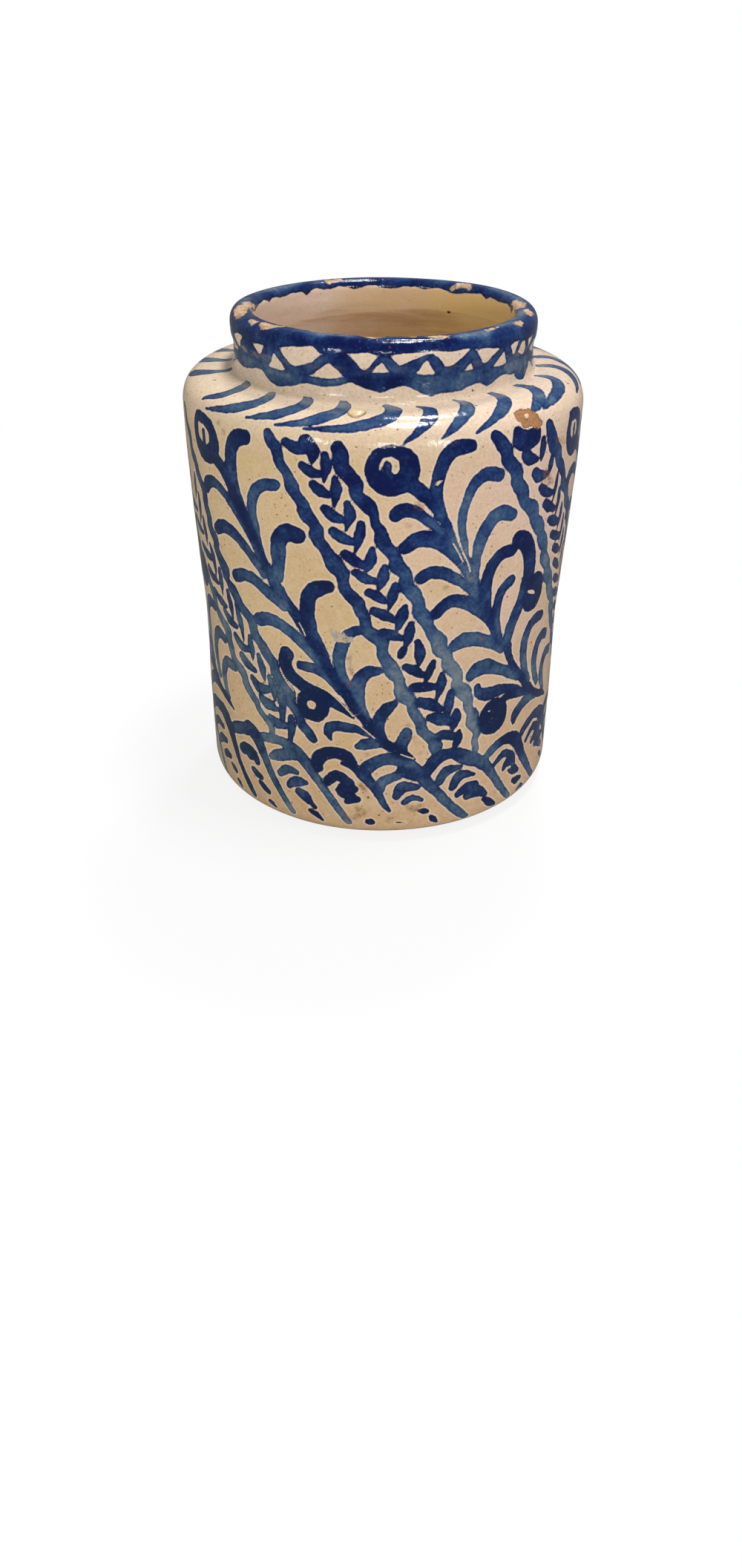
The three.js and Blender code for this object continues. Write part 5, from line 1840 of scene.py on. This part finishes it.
# Ground, light and camera: a white floor and surround that keep the jar's soft shadow, three low
# windows in front, one broad light overhead, and the photograph's own view.
floor_size = 12.0
floor_white = (0.8, 0.8, 0.8, 1.0)
floor_glow = 0.85
shadow_reach = (0.45, 1.3)
white = (1.0, 1.0, 1.0, 1.0)
surround_light = 0.45
reflected_share = 0.36
reflected_floor = 0.16
camera_spot = (0.0, -0.8087, 0.4632)
camera_tilt = 58.854
camera_turn = 0.40517
camera_roll = 0.34896
lens_length = 30.65
sensor_size = 36.0
nearest_seen = 0.05
jar_middle = 0.2

# Each lamp: its name, how far across, forward and up it is, its width and height in metres, its watts
lamps = (
    ("window left", -1.35, 1.95, 0.55, 0.16, 0.42, 7.0),
    ("window middle", 0.05, 2.4, 0.56, 0.3, 0.14, 6.0),
    ("window right", 1.25, 2.1, 0.55, 0.16, 0.42, 7.5),
    ("overhead", 0.4, 0.1, 2.6, 0.7, 0.4, 37.0),
    ("skylight", 0.33, -1.22, 2.45, 0.4, 0.4, 26.0),
)


def ray_kind(tree, kind):
    """1 for a ray of that kind, otherwise 0."""
    return put(tree, "ShaderNodeLightPath").outputs[kind]


def floor_material():
    """A floor that shows white, with the jar's shadow in it."""
    material, tree = empty_material("white floor")
    matt = put(tree, "ShaderNodeBsdfDiffuse", [("Color", floor_white)])
    glow = put(tree, "ShaderNodeEmission", [("Color", white), ("Strength", 1.0)])
    place = put(tree, "ShaderNodeTexCoord").outputs["Object"]
    away = put(tree, "ShaderNodeVectorMath", [(0, place)], operation="LENGTH").outputs["Value"]
    share = ramp(tree, away, *shadow_reach, floor_glow, 1.0)
    share = sums(tree, "MULTIPLY", ray_kind(tree, "Is Camera Ray"), share)
    mixed = put(tree, "ShaderNodeMixShader", [(0, share), (1, matt.outputs[0]), (2, glow.outputs[0])])
    dim = put(tree, "ShaderNodeEmission", [("Color", white), ("Strength", reflected_floor)])
    mirrored = ray_kind(tree, "Is Glossy Ray")
    mixed = put(tree, "ShaderNodeMixShader", [(0, mirrored), (1, mixed.outputs[0]), (2, dim.outputs[0])])
    put(tree, "ShaderNodeOutputMaterial", [("Surface", mixed.outputs[0])])
    return material


def lamp(name, across, forward, up, width, height, watts):
    """A soft rectangular lamp at that place in metres, turned to the jar."""
    light = bpy.data.lights.new(name, "AREA")
    light.shape = "RECTANGLE"
    light.size = width
    light.size_y = height
    light.energy = watts
    placed = bpy.data.objects.new(name, light)
    placed.location = (across, -forward, up)
    aim = Vector((0.0, 0.0, jar_middle)) - placed.location
    placed.rotation_euler = aim.to_track_quat("-Z", "Y").to_euler()
    bpy.context.scene.collection.objects.link(placed)


ground = bmesh.new()
bmesh.ops.create_grid(ground, x_segments=1, y_segments=1, size=floor_size / 2)
ground_mesh = bpy.data.meshes.new("floor")
ground.to_mesh(ground_mesh)
ground.free()
floor = bpy.data.objects.new("floor", ground_mesh)
bpy.context.scene.collection.objects.link(floor)
ground_mesh.materials.append(floor_material())

scene = bpy.context.scene
world = bpy.data.worlds.new("white surround")
world.use_nodes = True
world.node_tree.nodes.clear()
level = ramp(world.node_tree, ray_kind(world.node_tree, "Is Camera Ray"), 0.0, 1.0, surround_light, 1.0)
dimming = ramp(world.node_tree, ray_kind(world.node_tree, "Is Glossy Ray"), 0.0, 1.0, 1.0, reflected_share)
level = sums(world.node_tree, "MULTIPLY", level, dimming)
surround = put(world.node_tree, "ShaderNodeBackground", [("Color", white), ("Strength", level)])
put(world.node_tree, "ShaderNodeOutputWorld", [("Surface", surround.outputs[0])])
scene.world = world

for settings in lamps:
    lamp(*settings)

camera = bpy.data.cameras.new("camera")
camera.lens = lens_length
camera.sensor_width = sensor_size
camera.clip_start = nearest_seen
viewer = bpy.data.objects.new("camera", camera)
turned = Matrix.Rotation(math.radians(camera_turn), 4, "Z")
tilted = Matrix.Rotation(math.radians(camera_tilt), 4, "X")
rolled = Matrix.Rotation(math.radians(camera_roll), 4, "Z")
viewer.matrix_world = Matrix.Translation(camera_spot) @ turned @ tilted @ rolled
scene.collection.objects.link(viewer)
scene.camera = viewer
scene.view_settings.view_transform = "Standard"
